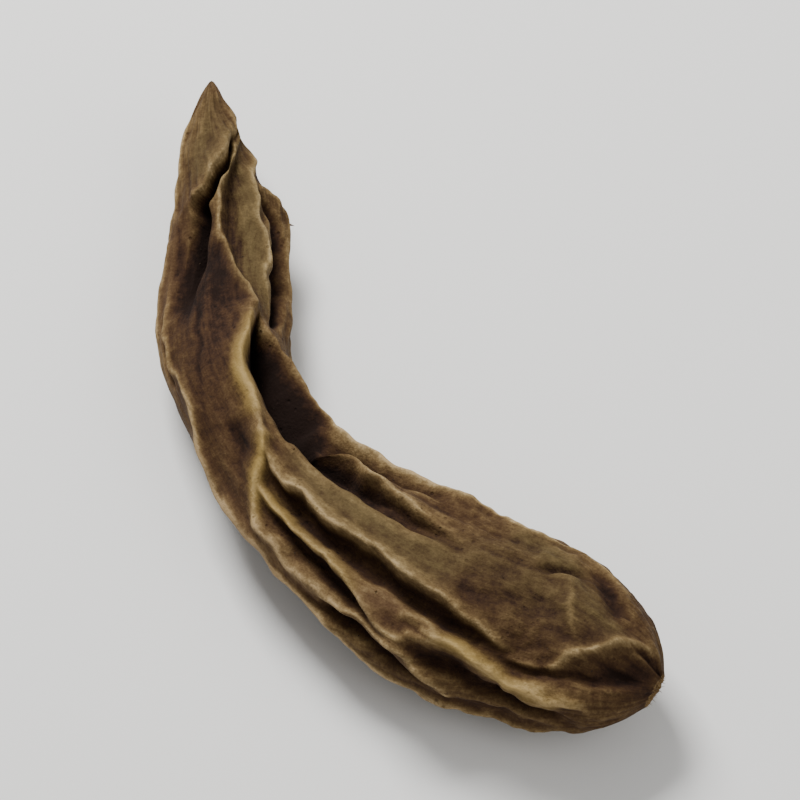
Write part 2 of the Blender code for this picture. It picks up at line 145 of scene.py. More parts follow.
# Broad lower arm, from the broken end to the bend. Its two rims run on past the bend.
LOWER_FOLDS = (
    Fold("inner rim", CREST, lean=1.2, curl=-0.4, path=(
        (0.3, 42, 0.1, 0.6), (2, 36, 0.3, 0.7), (4.2, 28, 0.4, 0.7), (6, 28, 0.45, 0.7),
        (9, 31, 0.5, 0.6), (12, 25, 0.5, 0.6), (14.8, 29, 0.55, 0.45), (18, 27, 0.6, 0.4),
        (21, 31, 0.65, 0.35), (23.7, 31, 0.7, 0.3), (26, 29, 0.75, 0.3), (28, 28, 0.75, 0.3),
        (30, 31, 0.7, 0.3), (31.3, 41, 0.6, 0.3), (32.6, 57, 0.45, 0.28), (33.6, 69, 0.2, 0.28))),
    Fold("second channel", CHANNEL, (
        (14.5, 42, 0, 0.4), (16.5, 38, -0.4, 0.4), (18.5, 38, -0.65, 0.4), (20.2, 42, -0.9, 0.42),
        (22, 45, -1.0, 0.45), (23.5, 47, -0.8, 0.5), (25, 50, -0.2, 0.5))),
    Fold("channel ridge", CREST, (
        (14, 66, 0, 0.5), (15.6, 67, 0.4, 0.5), (17.8, 64, 0.5, 0.45), (19.8, 60, 0.5, 0.4),
        (21.4, 57, 0.35, 0.4), (22.8, 55, 0.15, 0.4), (24.2, 54, 0, 0.4))),
    Fold("long channel", GORGE, curl=-0.7, path=(
        (10.5, 78, 0, 0.4), (14.2, 76, -0.6, 0.5), (17, 76, -1.0, 0.55), (19.4, 74, -1.4, 0.6),
        (21.5, 72, -1.8, 0.7), (23.4, 68, -2.2, 0.9), (25, 65.5, -2.7, 1.2), (27, 64, -3.1, 1.4),
        (29, 62, -3.1, 1.4), (30.6, 62, -2.9, 1.1), (32.1, 66, -2.1, 0.65), (33.6, 71, 0, 0.35))),
    Fold("main crest", CREST, lean=0.7, curl=-0.3, path=(
        (7.2, 126, 0.2, 0.5), (9, 118, 0.65, 0.55), (11.6, 111, 0.9, 0.6), (14, 107, 0.95, 0.6),
        (17.6, 108, 0.95, 0.6), (20.7, 109, 0.85, 0.55), (22.4, 113, 0.7, 0.5), (24.2, 112, 0.3, 0.4))),
    Fold("dark furrow", GORGE, lean=1.1, path=(
        (7.3, 132, -0.1, 0.35), (9.4, 127, -0.5, 0.5), (12.6, 119.5, -0.75, 0.6),
        (16.7, 118, -0.85, 0.55), (20, 119, -0.85, 0.5), (22, 120, -0.8, 0.45),
        (23.6, 118, -0.3, 0.35))),
    Fold("second crest", CREST, curl=-0.2, path=(
        (12.1, 146, 0.3, 0.4), (13.5, 143, 0.6, 0.4), (15.1, 136, 0.65, 0.4), (16.1, 130, 0.7, 0.45),
        (18.5, 129, 0.7, 0.45), (21.1, 131, 0.7, 0.45), (22.4, 131, 0.5, 0.4), (23.6, 128, 0.2, 0.35))),
    Fold("lower furrow", CHANNEL, (
        (13, 151, -0.2, 0.35), (14.6, 147, -0.55, 0.4), (16.8, 141.5, -0.65, 0.4),
        (20.1, 141, -0.55, 0.4), (22, 143, -0.1, 0.35))),
    Fold("third crest", CREST, curl=-0.15, path=(
        (9.2, 184, 0.2, 0.4), (10.4, 168, 0.5, 0.4), (11.4, 157, 0.6, 0.4), (12.7, 152, 0.6, 0.4),
        (15.2, 152, 0.6, 0.4), (18, 154, 0.55, 0.45), (20, 155, 0.5, 0.4), (21.8, 155, 0.4, 0.35))),
    Fold("loop hollow", CHANNEL, (
        (10.3, 180, 0, 0.35), (11.7, 174, -0.5, 0.45), (13.6, 168, -0.6, 0.5), (15.4, 165, -0.55, 0.4),
        (16.6, 163, 0, 0.35))),
    Fold("outer rim", CREST, lean=1.5, path=(
        (0.6, 205, 0.1, 0.4), (4, 202, 0.35, 0.5), (7, 197, 0.45, 0.5), (9.5, 196, 0.5, 0.45),
        (11.5, 195, 0.5, 0.45), (14.3, 187, 0.5, 0.4), (16.1, 178, 0.5, 0.4), (19.1, 171, 0.5, 0.4),
        (21.4, 168, 0.5, 0.4), (23.4, 170, 0.5, 0.4), (25.1, 173, 0.5, 0.4), (27.2, 166, 0.45, 0.35),
        (28.6, 153, 0.4, 0.35), (30, 147, 0.4, 0.35), (31.4, 152, 0.35, 0.35), (33.3, 157, 0.35, 0.35),
        (35, 156, 0.35, 0.35), (37, 158, 0.25, 0.35), (39.4, 158, 0.1, 0.35))),
    Fold("yellow crest", CREST, curl=-0.25, path=(
        (0.3, 161, 0.2, 0.5), (1.6, 153, 0.5, 0.5), (3.4, 150, 0.75, 0.5), (5.3, 149, 0.85, 0.5),
        (6.8, 145, 0.85, 0.5), (9, 140, 0.8, 0.45), (10.2, 137, 0.7, 0.4), (11.4, 136, 0.3, 0.35))),
    Fold("crease over yellow crest", CHANNEL, (
        (0.4, 126, -0.15, 0.3), (1.4, 128, -0.35, 0.3), (2.6, 132, -0.4, 0.26), (3.8, 136, -0.45, 0.26),
        (5.4, 138, -0.45, 0.26), (7, 138, -0.4, 0.26), (8.6, 134, 0, 0.26))),
    Fold("groove under yellow crest", CHANNEL, (
        (1.2, 186, 0, 0.4), (2.8, 173, -0.45, 0.5), (4.3, 170, -0.65, 0.55), (6.1, 168, -0.7, 0.55),
        (7.5, 165, -0.65, 0.5), (9.2, 158, -0.6, 0.45), (11.3, 148, -0.2, 0.35))),
    Fold("hook", CREST, (
        (11.9, 141, 0.3, 0.25), (11.2, 142, 0.35, 0.25), (10.8, 136, 0.4, 0.25),
        (11.4, 130, 0.35, 0.25), (12.1, 132, 0.3, 0.25), (12.4, 136, 0.1, 0.25))),
    Fold("end ridge", CREST, lean=0.8, path=(
        (-0.9, 62, 0.1, 0.35), (0.2, 82, 0.35, 0.35), (1.3, 97, 0.45, 0.35), (2.4, 112, 0.45, 0.35),
        (3.2, 124, 0.35, 0.3), (3.9, 134, 0.1, 0.3))),
    Fold("cross ridge", CREST, (
        (5.4, 62, 0.05, 0.5), (4.6, 76, 0.2, 0.5), (4.0, 90, 0.28, 0.5), (3.4, 102, 0.2, 0.5),
        (2.4, 112, 0.05, 0.5))),
    Fold("end dimple", SWELL, (
        (4.6, 38, -0.2, 0.6), (3.5, 46, -0.45, 0.7), (2.3, 60, -0.35, 0.6))),
    Fold("rim crease", CHANNEL, (
        (4.5, 44, -0.1, 0.3), (5.3, 58, -0.4, 0.32), (6.3, 62, -0.4, 0.32), (7.6, 68, 0, 0.3))),
    Fold("end hollow", SWELL, (
        (2.0, 125, -0.3, 0.6), (1.2, 118, -0.65, 0.8), (0.3, 113, -0.85, 0.9), (-0.7, 108, -0.5, 0.8))),
)

# Narrow upper arm, from the mouth at the bend to the tip.
UPPER_FOLDS = (
    Fold("lip hollow", SWELL, (
        (24.4, 138, -0.1, 0.4), (25.4, 129, -0.3, 0.45), (26.4, 124, -0.28, 0.45),
        (27.3, 121, 0, 0.35))),
    Fold("mouth lip", CREST, lean=1.9, curl=0.5, path=(
        (20.8, 156, 0.3, 0.35), (21.9, 152, 0.45, 0.4), (22.8, 142, 0.6, 0.45), (23.6, 125, 0.8, 0.45),
        (24.8, 110, 0.9, 0.45), (26.5, 103, 0.9, 0.45), (28.8, 96, 0.9, 0.45), (30.5, 90, 0.9, 0.45),
        (32, 82, 0.85, 0.4), (33.5, 74, 0.75, 0.4), (35.2, 73, 0.6, 0.35), (37.2, 83, 0.5, 0.35),
        (38.8, 95, 0.5, 0.35), (40, 103, 0.5, 0.35), (41.5, 107, 0.5, 0.3), (43, 104, 0.5, 0.3),
        (44.2, 94, 0.5, 0.3), (45.1, 80, 0.5, 0.3), (46.3, 54, 0.2, 0.3))),
    Fold("slit", GORGE, (
        (36.2, 127, 0, 0.4), (37.6, 126, -0.35, 0.45), (38.8, 126, -0.7, 0.5), (40.1, 128, -1.1, 0.5),
        (41.7, 127, -1.3, 0.4), (43.2, 117, -1.3, 0.3), (45, 93, -1.0, 0.24), (46.5, 64, -0.4, 0.2),
        (47.4, 45, 0, 0.2))),
    Fold("dark valley", SWELL, (
        (33.2, 132, 0, 0.8), (34.8, 133, -0.35, 1.0), (36.6, 134, -0.75, 1.15), (38.6, 132, -1.0, 1.1),
        (40.2, 132, -0.95, 0.85), (41.6, 131, -0.6, 0.55), (42.8, 125, -0.1, 0.4))),
    Fold("tip flap", CREST, lean=2.6, curl=0.4, path=(
        (37.8, 150, 0.1, 0.35), (39.2, 146, 0.4, 0.35), (40.6, 142, 0.6, 0.35), (42.2, 137, 0.65, 0.3),
        (43.4, 127, 0.7, 0.3), (44.7, 107, 0.7, 0.28), (46.1, 81, 0.6, 0.26), (47.2, 50, 0.4, 0.26),
        (48.4, 40, 0.1, 0.26))),
    Fold("outer rim, upper arm", CREST, lean=1.2, path=(
        (31.4, 184, 0.1, 0.4), (33.5, 183, 0.3, 0.4), (35.5, 178, 0.35, 0.4), (39.1, 170, 0.35, 0.4),
        (41.5, 172, 0.35, 0.4), (43.5, 172, 0.3, 0.35), (45.4, 164, 0.25, 0.3), (47.5, 163, 0.15, 0.3),
        (48.7, 140, 0.05, 0.3))),
    Fold("slots", CHANNEL, (
        (30.8, 163, 0, 0.2), (31.6, 164, -0.5, 0.25), (32.6, 165, -0.65, 0.25), (33.5, 164, -0.3, 0.2),
        (34.2, 164, -0.1, 0.18), (34.8, 164, -0.4, 0.2), (35.4, 163, 0, 0.18))),
    Fold("middle trough", SWELL, (
        (37.4, 76, -0.1, 0.5), (39, 82, -0.4, 0.5), (40.8, 87, -0.5, 0.5), (42.4, 86, -0.5, 0.45),
        (44.3, 72, -0.2, 0.4))),
    Fold("centre ridge", CREST, curl=0.2, path=(
        (35.2, 56, 0.1, 0.4), (37.6, 51, 0.4, 0.4), (39.1, 48, 0.5, 0.4), (40.4, 53, 0.55, 0.4),
        (41.2, 60, 0.55, 0.4), (42.4, 63, 0.5, 0.4), (43.8, 51, 0.5, 0.4), (45.2, 26, 0.5, 0.35),
        (46.4, 28, 0.15, 0.3))),
    Fold("third channel", GORGE, (
        (32.8, 42, -0.1, 0.3), (34.5, 36, -0.9, 0.5), (36.7, 29, -1.3, 0.6), (38.9, 26, -1.3, 0.6),
        (40.3, 28, -1.25, 0.55), (41.5, 37, -1.0, 0.4), (42.7, 54, -0.1, 0.3))),
    Fold("inner rim, upper arm", CREST, (
        (33.2, 12, 0.1, 0.35), (36, 6, 0.3, 0.35), (38.5, 4, 0.3, 0.35), (41.2, 5, 0.3, 0.35),
        (42.3, 11, 0.35, 0.35), (42.9, 31, 0.4, 0.3), (43.2, 50, 0.1, 0.3))),
    Fold("face line", CHANNEL, (
        (28.6, 136, 0, 0.12), (30.2, 130, -0.05, 0.13), (32, 122, -0.07, 0.14), (34, 119, -0.07, 0.14),
        (36.3, 123, 0, 0.13))),
)

# Underside, and the edge inside the bend.
UNDER_FOLDS = (
    Fold("under crest 1", CREST, (
        (2, 222, 0.2, 0.7), (8, 226, 0.5, 0.8), (15, 224, 0.3, 0.7), (23, 218, 0.2, 0.6),
        (31, 216, 0.3, 0.6), (38, 207, 0.35, 0.5), (44, 214, 0.2, 0.4))),
    Fold("under furrow 1", CHANNEL, (
        (3, 240, -0.1, 0.5), (7, 243, -0.6, 0.6), (13, 236, -0.8, 0.6), (20, 230, -0.9, 0.6),
        (27, 228, -0.8, 0.55), (34, 228, -0.6, 0.5), (41, 224, -0.3, 0.4), (45, 226, 0, 0.3))),
    Fold("under crest 2", CREST, (
        (1.5, 252, 0.2, 0.7), (6, 258, 0.6, 0.9), (12, 255, 0.7, 0.9), (18, 246, 0.6, 0.8),
        (25, 243, 0.5, 0.7), (32, 247, 0.6, 0.7), (39, 243, 0.5, 0.6), (45, 250, 0.2, 0.4))),
    Fold("under furrow 2", CHANNEL, (
        (8, 272, -0.1, 0.5), (12, 272, -0.5, 0.6), (18, 262, -1.0, 0.7), (24, 259, -1.2, 0.8),
        (30, 263, -1.1, 0.75), (35, 265, -0.7, 0.6), (40, 262, -0.3, 0.4))),
    Fold("under crest 3", CREST, (
        (3, 282, 0.3, 0.8), (9, 287, 0.6, 0.9), (16, 282, 0.6, 0.8), (23, 280, 0.6, 0.7),
        (29, 284, 0.6, 0.7), (36, 287, 0.6, 0.6), (42, 280, 0.4, 0.5), (46, 286, 0.1, 0.4))),
    Fold("under furrow 3", CHANNEL, (
        (2, 300, -0.1, 0.4), (6, 306, -0.6, 0.5), (12, 307, -0.7, 0.6), (19, 300, -0.6, 0.5),
        (24, 303, -0.2, 0.4))),
    Fold("under furrow 4", CHANNEL, (
        (26, 305, -0.1, 0.4), (31, 308, -0.7, 0.5), (37, 309, -0.7, 0.5), (43, 301, -0.3, 0.4))),
    Fold("under crest 4", CREST, (
        (1.5, 322, 0.2, 0.6), (7, 328, 0.5, 0.7), (14, 325, 0.6, 0.8), (21, 321, 0.6, 0.7),
        (28, 327, 0.5, 0.6), (35, 331, 0.5, 0.6), (42, 322, 0.3, 0.5))),
    Fold("under furrow 5", CHANNEL, (
        (4, 345, -0.1, 0.5), (9, 349, -0.6, 0.6), (16, 346, -0.8, 0.6), (22, 345, -0.9, 0.55),
        (29, 350, -0.8, 0.5), (35, 347, -0.4, 0.4), (39, 345, 0, 0.3))),
    Fold("inner crest", CREST, (
        (2.5, 3, 0.1, 0.5), (8, 5, 0.35, 0.6), (15, 3, 0.45, 0.6), (21, 6, 0.4, 0.5),
        (27, 10, 0.35, 0.5), (31, 14, 0.1, 0.4))),
)

# Colour of the top side, crest by crest and face by face. Some shade stains are painted shade,
# painted shadows and painted highlights, each marked where it stands.
STAINS = (
    Stain(YELLOW, ((32.4, 80, 0.6, 0.3), (31, 88, 0.9, 0.36), (29.6, 95, 1.0, 0.4),
        (28.2, 99, 0.9, 0.4), (26.8, 104, 0.5, 0.36))),
    Stain(SHADE, ((31, 90, 0.4, 0.4), (29.6, 97, 0.6, 0.5), (28.2, 101, 0.5, 0.5))),
    Stain(YELLOW, ((25, 109, 0.6, 0.35), (24.3, 117, 1.0, 0.4), (23.5, 129, 1.0, 0.4),
        (22.8, 140, 0.7, 0.35), (21.9, 150, 0.3, 0.3))),
    Stain(YELLOW, ((10.6, 137, 0.5, 0.3), (9.6, 138, 1.0, 0.4), (7.8, 142, 0.8, 0.35),
        (5.4, 149, 0.9, 0.35), (3.3, 150, 0.5, 0.35), (1.6, 153, 0.3, 0.3))),
    Stain(YELLOW, ((22.7, 130, 0.6, 0.3), (21.6, 131, 0.9, 0.35), (19.6, 130, 0.5, 0.3),
        (16.6, 130, 0.5, 0.3), (15.2, 135, 0.4, 0.3))),
    Stain(OLIVE, ((46.2, 50, 0.6, 0.7), (44.4, 68, 0.8, 0.9), (42, 72, 0.8, 0.9), (39.5, 66, 0.9, 1.0),
        (37, 64, 0.9, 1.0), (34.5, 58, 0.6, 0.8))),
    Stain(OLIVE, ((48.4, 95, 0.5, 0.6), (46.5, 108, 0.8, 0.7), (44.4, 128, 0.7, 0.6))),
    Stain(OLIVE, ((23, 98, 0.5, 0.6), (20, 96, 0.8, 0.9), (16, 95, 0.9, 1.0), (12, 97, 0.6, 1.0))),
    Stain(OLIVE, ((9, 45, 0.6, 0.9), (6.5, 50, 0.7, 0.8), (4.5, 62, 0.5, 0.8), (2, 88, 0.6, 0.7))),
    Stain(OLIVE, ((13, 84, 0.4, 1.2), (10, 80, 0.6, 2.0), (7, 82, 0.6, 2.2), (4, 92, 0.5, 1.8))),
    Stain(MAUVE, ((42.5, 160, 0.4, 0.6), (38, 164, 0.6, 0.7), (34, 168, 0.5, 0.6), (30, 168, 0.5, 0.6),
        (26, 168, 0.5, 0.5), (20, 163, 0.6, 0.7), (16, 160, 0.5, 0.6))),
    Stain(MAUVE, ((37.4, 102, 0.8, 0.5), (35.4, 100, 0.8, 0.8), (32.5, 106, 0.6, 1.0),
        (29, 122, 0.3, 0.9), (26.5, 132, 0.4, 0.7), (24.5, 142, 0.4, 0.6))),
    Stain(MAUVE, ((14.8, 134, 0.7, 0.5), (13.6, 131, 0.9, 0.7), (12.6, 132, 0.7, 0.5))),
    Stain(MAUVE, ((4.8, 160, 0.7, 0.4), (7, 158, 0.8, 0.4), (8.6, 154, 0.5, 0.3))),
    Stain(SHADE, ((47.5, 160, 0.4, 0.5), (44, 164, 0.5, 0.55), (40, 166, 0.55, 0.6),
        (36, 172, 0.5, 0.6), (32, 178, 0.4, 0.5), (28, 172, 0.4, 0.4))),
    Stain(SHADE, ((25.5, 168, 0.4, 0.35), (23, 168, 0.4, 0.4), (20.6, 162, 0.6, 0.6),
        (18, 162, 0.7, 0.6), (15.7, 159, 0.5, 0.45))),
    Stain(SHADE, ((22.6, 100, 0.1, 0.5), (20.6, 97, 0.35, 0.7), (16, 95, 0.4, 0.8),
        (12, 98, 0.15, 0.8))),
    Stain(SHADE, ((9.5, 38, 0.3, 0.6), (7.2, 42, 0.5, 0.5), (5.2, 38, 0.5, 0.4), (3.6, 30, 0.3, 0.4))),
    Stain(SHADE, ((14.8, 134, 0.25, 0.5), (13.6, 131, 0.35, 0.6), (12.6, 132, 0.25, 0.4))),
    # Painted shade in the end hollow under the end ridge.
    Stain(SHADE, ((1.5, 124, -0.5, 0.5), (0.6, 117, -0.9, 0.9), (-0.4, 116, -0.9, 1.0),
        (-1.2, 120, -0.7, 0.8))),
    # Painted shade in the lip hollow.
    Stain(SHADE, ((27, 124, -0.3, 0.35), (26, 123, -0.6, 0.4), (25.1, 130, -0.4, 0.35))),
    # Painted shade down the dark valley beside the slit.
    Stain(SHADE, ((42.6, 128, -0.8, 0.5), (41, 132, -1.3, 0.8), (39, 131, -1.5, 1.1),
        (37, 132, -1.4, 1.2), (35, 131, -0.9, 1.0), (33.4, 130, -0.3, 0.8))),
    # Painted shade along the face line, a crease too shallow to darken by itself.
    Stain(SHADE, ((36.3, 123, -0.2, 0.12), (34, 119, -0.35, 0.13), (31.9, 122, -0.3, 0.12),
        (30.2, 130, -0.2, 0.12), (28.6, 136, -0.1, 0.1))),
    Stain(SHADE, ((11, 96, -0.15, 1.8), (8.5, 92, -0.35, 2.4), (5.5, 100, -0.35, 2.2),
        (2.5, 100, -0.15, 1.5))),
    # Painted shade in the end dimple.
    Stain(SHADE, ((4, 46, -0.5, 0.5), (3, 50, -0.6, 0.6), (2.2, 60, -0.4, 0.5))),
    # Painted shadow on the floor and walls of the third channel.
    Stain(SHADE, ((33.2, 40, -0.5, 0.4), (34.5, 36, -1.1, 0.6), (36.7, 29, -1.4, 0.7),
        (38.9, 26, -1.4, 0.7), (40.3, 28, -1.4, 0.65), (41.5, 37, -1.0, 0.5)), sharp=True),
    # Painted shadow on the floor and walls of the long channel, so that the mouth reads black.
    Stain(SHADE, ((16, 76, -0.2, 0.6), (19.4, 73, -0.5, 0.75), (21.5, 69, -0.7, 0.95),
        (23.4, 64, -1.5, 1.2), (25, 61, -2.3, 1.5), (27, 59, -3.0, 1.65), (29, 58, -3.1, 1.65),
        (30.6, 58, -2.8, 1.45), (32.1, 65, -1.8, 0.88), (33.4, 71, -0.5, 0.4)), sharp=True),
    # Painted highlight: a thin pale line along the crest of the inner rim and the broad face's upper
    # edge.
    Stain(SHADE, ((33.4, 66, 0.3, 0.16), (32.5, 56, 0.7, 0.16), (31.3, 41, 1.2, 0.17),
        (30, 31, 1.4, 0.18), (28, 27, 1.4, 0.18), (26, 28, 1.2, 0.18), (23.7, 30, 0.8, 0.18),
        (21, 30, 0.5, 0.2), (18, 27, 0.4, 0.2), (14.8, 29, 0.35, 0.2), (12, 25, 0.35, 0.2),
        (9, 31, 0.35, 0.22), (6, 28, 0.25, 0.22))),
    # Painted shade over the top and left side of the upper arm.
    Stain(SHADE, ((46, 120, -0.2, 1.0), (43, 125, -0.3, 1.6), (40, 118, -0.35, 2.2),
        (35, 112, -0.4, 2.2), (31, 112, -0.35, 2.0), (27, 130, -0.2, 1.6))),
    Stain(SHADE, ((49.6, 100, 0.3, 0.8), (47.6, 125, 0.35, 0.9), (45.4, 140, 0.3, 0.8))),
    Stain(SHADE, ((38.8, 108, -0.4, 0.5), (37, 100, -0.8, 0.8), (35, 98, -0.9, 1.0),
        (33, 106, -0.5, 1.1), (31, 120, -0.2, 1.0))),
    Stain(SHADE, ((45, 45, 0.1, 0.5), (42.5, 68, 0.2, 0.8), (40.5, 60, 0.2, 0.9), (38, 55, 0.2, 0.9),
        (35.5, 55, 0.1, 0.7))),
    # Painted highlight: a thin pale line along the crest of the outer rim.
    Stain(SHADE, ((30, 147, 0.5, 0.2), (28.6, 153, 0.6, 0.2), (27.2, 166, 0.8, 0.2),
        (25.1, 173, 0.8, 0.2), (23.4, 170, 0.8, 0.2), (21.4, 168, 0.7, 0.2), (19.1, 171, 0.7, 0.2),
        (16.1, 178, 0.6, 0.2), (14.3, 187, 0.5, 0.2), (11.5, 195, 0.3, 0.2))),
    Stain(SHADE, ((10.6, 137, 0.3, 0.5), (8.5, 141, 0.5, 0.55), (5.3, 149, 0.5, 0.6),
        (2.5, 151, 0.4, 0.5))),
)

# How much of the wrinkles and of the crumpling is left, station by station.
LONG_FADE = ((-1.4, 0.5), (1.0, 1.0), (24.0, 0.8), (30.0, 0.5), (44.0, 0.6), (49.0, 0.3), (50.0, 0.1))
END_FADE = ((-1.4, 0.6), (1.0, 1.0), (10.0, 1.0), (15.0, 0.5), (43.0, 0.4), (46.0, 0.9), (49.0, 0.8),
            (50.0, 0.1))

# Shrinking flesh pulls the skin into long wrinkles, with finer ones on and across them, and
# crumples and crackles it most towards the two ends.
WRINKLES = (
    Wrinkle(0.13, Grain(4.5, 1.3, 3.1, ridged=True), LONG_FADE),
    Wrinkle(0.06, Grain(1.3, 0.5, 17.7, octaves=2, ridged=True), LONG_FADE),
    Wrinkle(0.025, Grain(0.45, 1.7, 61.3, octaves=2, ridged=True), LONG_FADE),
    Wrinkle(0.13, Grain(1.5, 1.3, 23.7), END_FADE),
    Wrinkle(0.045, Grain(0.8, 0.75, 97.1, ridged=True), END_FADE),
)


def smooth_rows(rows: Sequence, at: np.ndarray) -> np.ndarray:
    """Read the values of rows at some stations, on a smooth curve through them.

    Args:
        rows: a station and its values in each row.
        at: the stations to read.

    Returns:
        One row of values for each station read.
    """
    rows = np.asarray(rows, float)
    station, values = rows[:, 0], rows[:, 1:]
    slopes = np.diff(values, axis=0) / np.diff(station)[:, None]
    slopes = np.vstack([slopes[:1], (slopes[1:] + slopes[:-1]) / 2, slopes[-1:]])
    at = np.atleast_1d(np.asarray(at, float))
    i = np.clip(np.searchsorted(station, at, side="right") - 1, 0, len(station) - 2)
    step = (station[i + 1] - station[i])[:, None]
    t = np.clip((at - station[i])[:, None] / step, 0, 1)
    return ((1 + 2 * t) * (1 - t) ** 2 * values[i] + t * (1 - t) ** 2 * step * slopes[i]
            + t * t * (3 - 2 * t) * values[i + 1] + t * t * (t - 1) * step * slopes[i + 1])


def blur(grid: np.ndarray, rows: int, columns: int, passes: int = 2) -> np.ndarray:
    """Average a grid over its neighbours, closed around and open along.

    Args:
        grid: one value for each ring and each point of a ring.
        rows: how many rings to take in on either side.
        columns: how many points of a ring to take in on either side.
        passes: how often it is done.

    Returns:
        The averaged grid.
    """
    for _ in range(passes):
        padded = np.pad(grid, ((rows + 1, rows), (0, 0)), mode="edge").cumsum(axis=0)
        grid = (padded[2 * rows + 1:] - padded[:-2 * rows - 1]) / (2 * rows + 1)
        padded = np.pad(grid, ((0, 0), (columns + 1, columns)), mode="wrap").cumsum(axis=1)
        grid = (padded[:, 2 * columns + 1:] - padded[:, :-2 * columns - 1]) / (2 * columns + 1)
    return grid


class Trace(NamedTuple):
    """Where a path runs on the skin: the rings that it reaches, and at every point of them the
    path's strength there and the distance to it, in half widths and in mm."""

    rows: slice
    strength: np.ndarray
    distance: np.ndarray
    apart: np.ndarray


@dataclass
class SkinGrid:
    """The skin as rings of points, the same points on a plain tube, and the marks at each of them."""

    points: np.ndarray
    tube: np.ndarray
    marks: dict[str, np.ndarray]


@dataclass
class RootForm:
    """Shape of the root in millimetres: smooth body, folds and wrinkles.

    A row of line holds a station and the centreline's x, y and z there, and a row of sizes the
    body's half sizes there: inner, outer, top and under. The rise of a fold is multiplied by
    fold_gain, give or take fold_change, and its path wanders by drift. It is worked out as far
    along as reach times its half width. The skin sinks by no more than deepest times the body's
    smallest half size. A crest that rises by bead_full_at carries a whole bead. A window is how
    many rings and points on either side are averaged, to tell crests and hollows from their
    surroundings.
    """

    starts_at: float = -1.4
    ends_at: float = 50.0
    tip_closes_at: float = 49.9
    rings: int = 330
    ring_points: int = 284
    fold_gain: float = 1.15
    fold_change: float = 0.35
    drift: float = 0.33
    deepest: float = 0.85
    crest_rounding: float = 0.2
    channel_power: int = 3
    gorge_power: int = 6
    bead_full_at: float = 0.5
    bead_height: float = 0.07
    bead_width: float = 0.16
    tube_radius: float = 4.2
    path_parts: int = 4
    reach: float = 5.0
    crest_window: tuple[int, int] = (3, 5)
    crest_height: float = 0.12
    hollow_window: tuple[int, int] = (12, 20)
    hollow_depth: float = 1.3
    line: Rows = (
        (-1.4, 14.2, -18.7, 4.1), (0.0, 13.0, -18.0, 4.2), (3.0, 10.5, -16.6, 4.2),
        (6.0, 7.9, -15.3, 4.0), (12.0, 2.6, -12.9, 4.15), (18.0, -2.1, -9.2, 3.8),
        (24.0, -6.2, -4.8, 3.6), (30.0, -9.0, 0.4, 3.7), (36.0, -9.9, 6.2, 3.1),
        (42.0, -9.8, 12.1, 3.3), (46.0, -10.5, 16.1, 4.1), (50.0, -10.8, 20.5, 5.1),
    )
    sizes: Rows = (
        (-1.4, 0.5, 1.7, 1.0, 0.9), (-0.7, 1.5, 3.0, 1.7, 1.6), (0.3, 2.6, 4.0, 2.3, 2.2),
        (1.5, 3.2, 4.6, 2.7, 2.7), (3.2, 4.0, 5.0, 3.1, 3.2), (6.3, 4.8, 5.3, 3.4, 3.5),
        (10.0, 4.85, 5.6, 3.5, 3.7), (14.0, 4.9, 5.4, 3.4, 3.6), (18.0, 4.1, 4.75, 3.2, 3.5),
        (21.0, 3.5, 4.3, 3.1, 3.4), (24.5, 3.0, 3.85, 3.0, 3.3), (28.0, 2.8, 3.5, 2.9, 3.3),
        (31.5, 3.1, 3.6, 2.8, 3.2), (35.0, 3.45, 3.5, 2.6, 3.1), (40.0, 3.1, 2.9, 2.3, 2.7),
        (42.0, 3.0, 2.65, 2.1, 2.4), (44.0, 1.95, 2.3, 1.8, 2.0), (46.0, 1.5, 1.85, 1.5, 1.6),
        (48.0, 0.95, 1.2, 1.1, 1.1), (49.5, 0.35, 0.45, 0.5, 0.5), (50.0, 0.05, 0.05, 0.05, 0.05),
    )
    folds: tuple[Fold, ...] = LOWER_FOLDS + UPPER_FOLDS + UNDER_FOLDS
    stains: tuple[Stain, ...] = STAINS
    wrinkles: tuple[Wrinkle, ...] = WRINKLES
    drift_along: Grain = Grain(2.4, 2.0, 5.0, octaves=2, smoothness=0.85)
    drift_around: Grain = Grain(2.2, 2.0, 41.0, octaves=2, smoothness=0.85)
    change: Grain = Grain(3.0, 2.0, 77.0)

    def __post_init__(self) -> None:
        """Lay out the rings and the points around them."""
        self.along = np.linspace(self.starts_at, self.tip_closes_at, self.rings)
        self.around = np.linspace(0, FULL_TURN, self.ring_points, endpoint=False)

    def cross_axes(self, along: np.ndarray) -> tuple[np.ndarray, ...]:
        """Find the axes of the cross sections.

        Args:
            along: stations on the centreline.

        Returns:
            Centre, direction, up and inner side at each station.
        """
        step = 0.01
        centre = smooth_rows(self.line, along)
        ahead = smooth_rows(self.line, np.clip(along + step, self.starts_at, self.ends_at))
        forward = ahead - smooth_rows(self.line, np.clip(along - step, self.starts_at, self.ends_at))
        forward /= np.linalg.norm(forward, axis=1)[:, None]
        up = np.array([0, 0, 1.0]) - forward * forward[:, 2:3]
        up /= np.linalg.norm(up, axis=1)[:, None]
        return centre, forward, up, np.cross(forward, up)

    def smooth_body(self) -> tuple[np.ndarray, ...]:
        """Lay out the body without its folds.

        Returns:
            Its points, their outward directions, their directions around, and mm per radian around.
        """
        centre, _, up, side = self.cross_axes(self.along)
        inner, outer, top, under = (size[:, None] for size in smooth_rows(self.sizes, self.along).T)
        cos, sin = np.cos(self.around)[None, :], np.sin(self.around)[None, :]
        wide = np.where(cos > 0, inner, outer)
        high = np.where(sin > 0, top, under)
        length = np.hypot(cos / wide, sin / high)
        out_side, out_up = (cos / wide / length)[..., None], (sin / high / length)[..., None]
        pace = np.hypot(wide * sin, high * cos)
        side, up = side[:, None], up[:, None]
        points = centre[:, None] + (wide * cos)[..., None] * side + (high * sin)[..., None] * up
        return points, out_side * side + out_up * up, out_side * up - out_up * side, pace

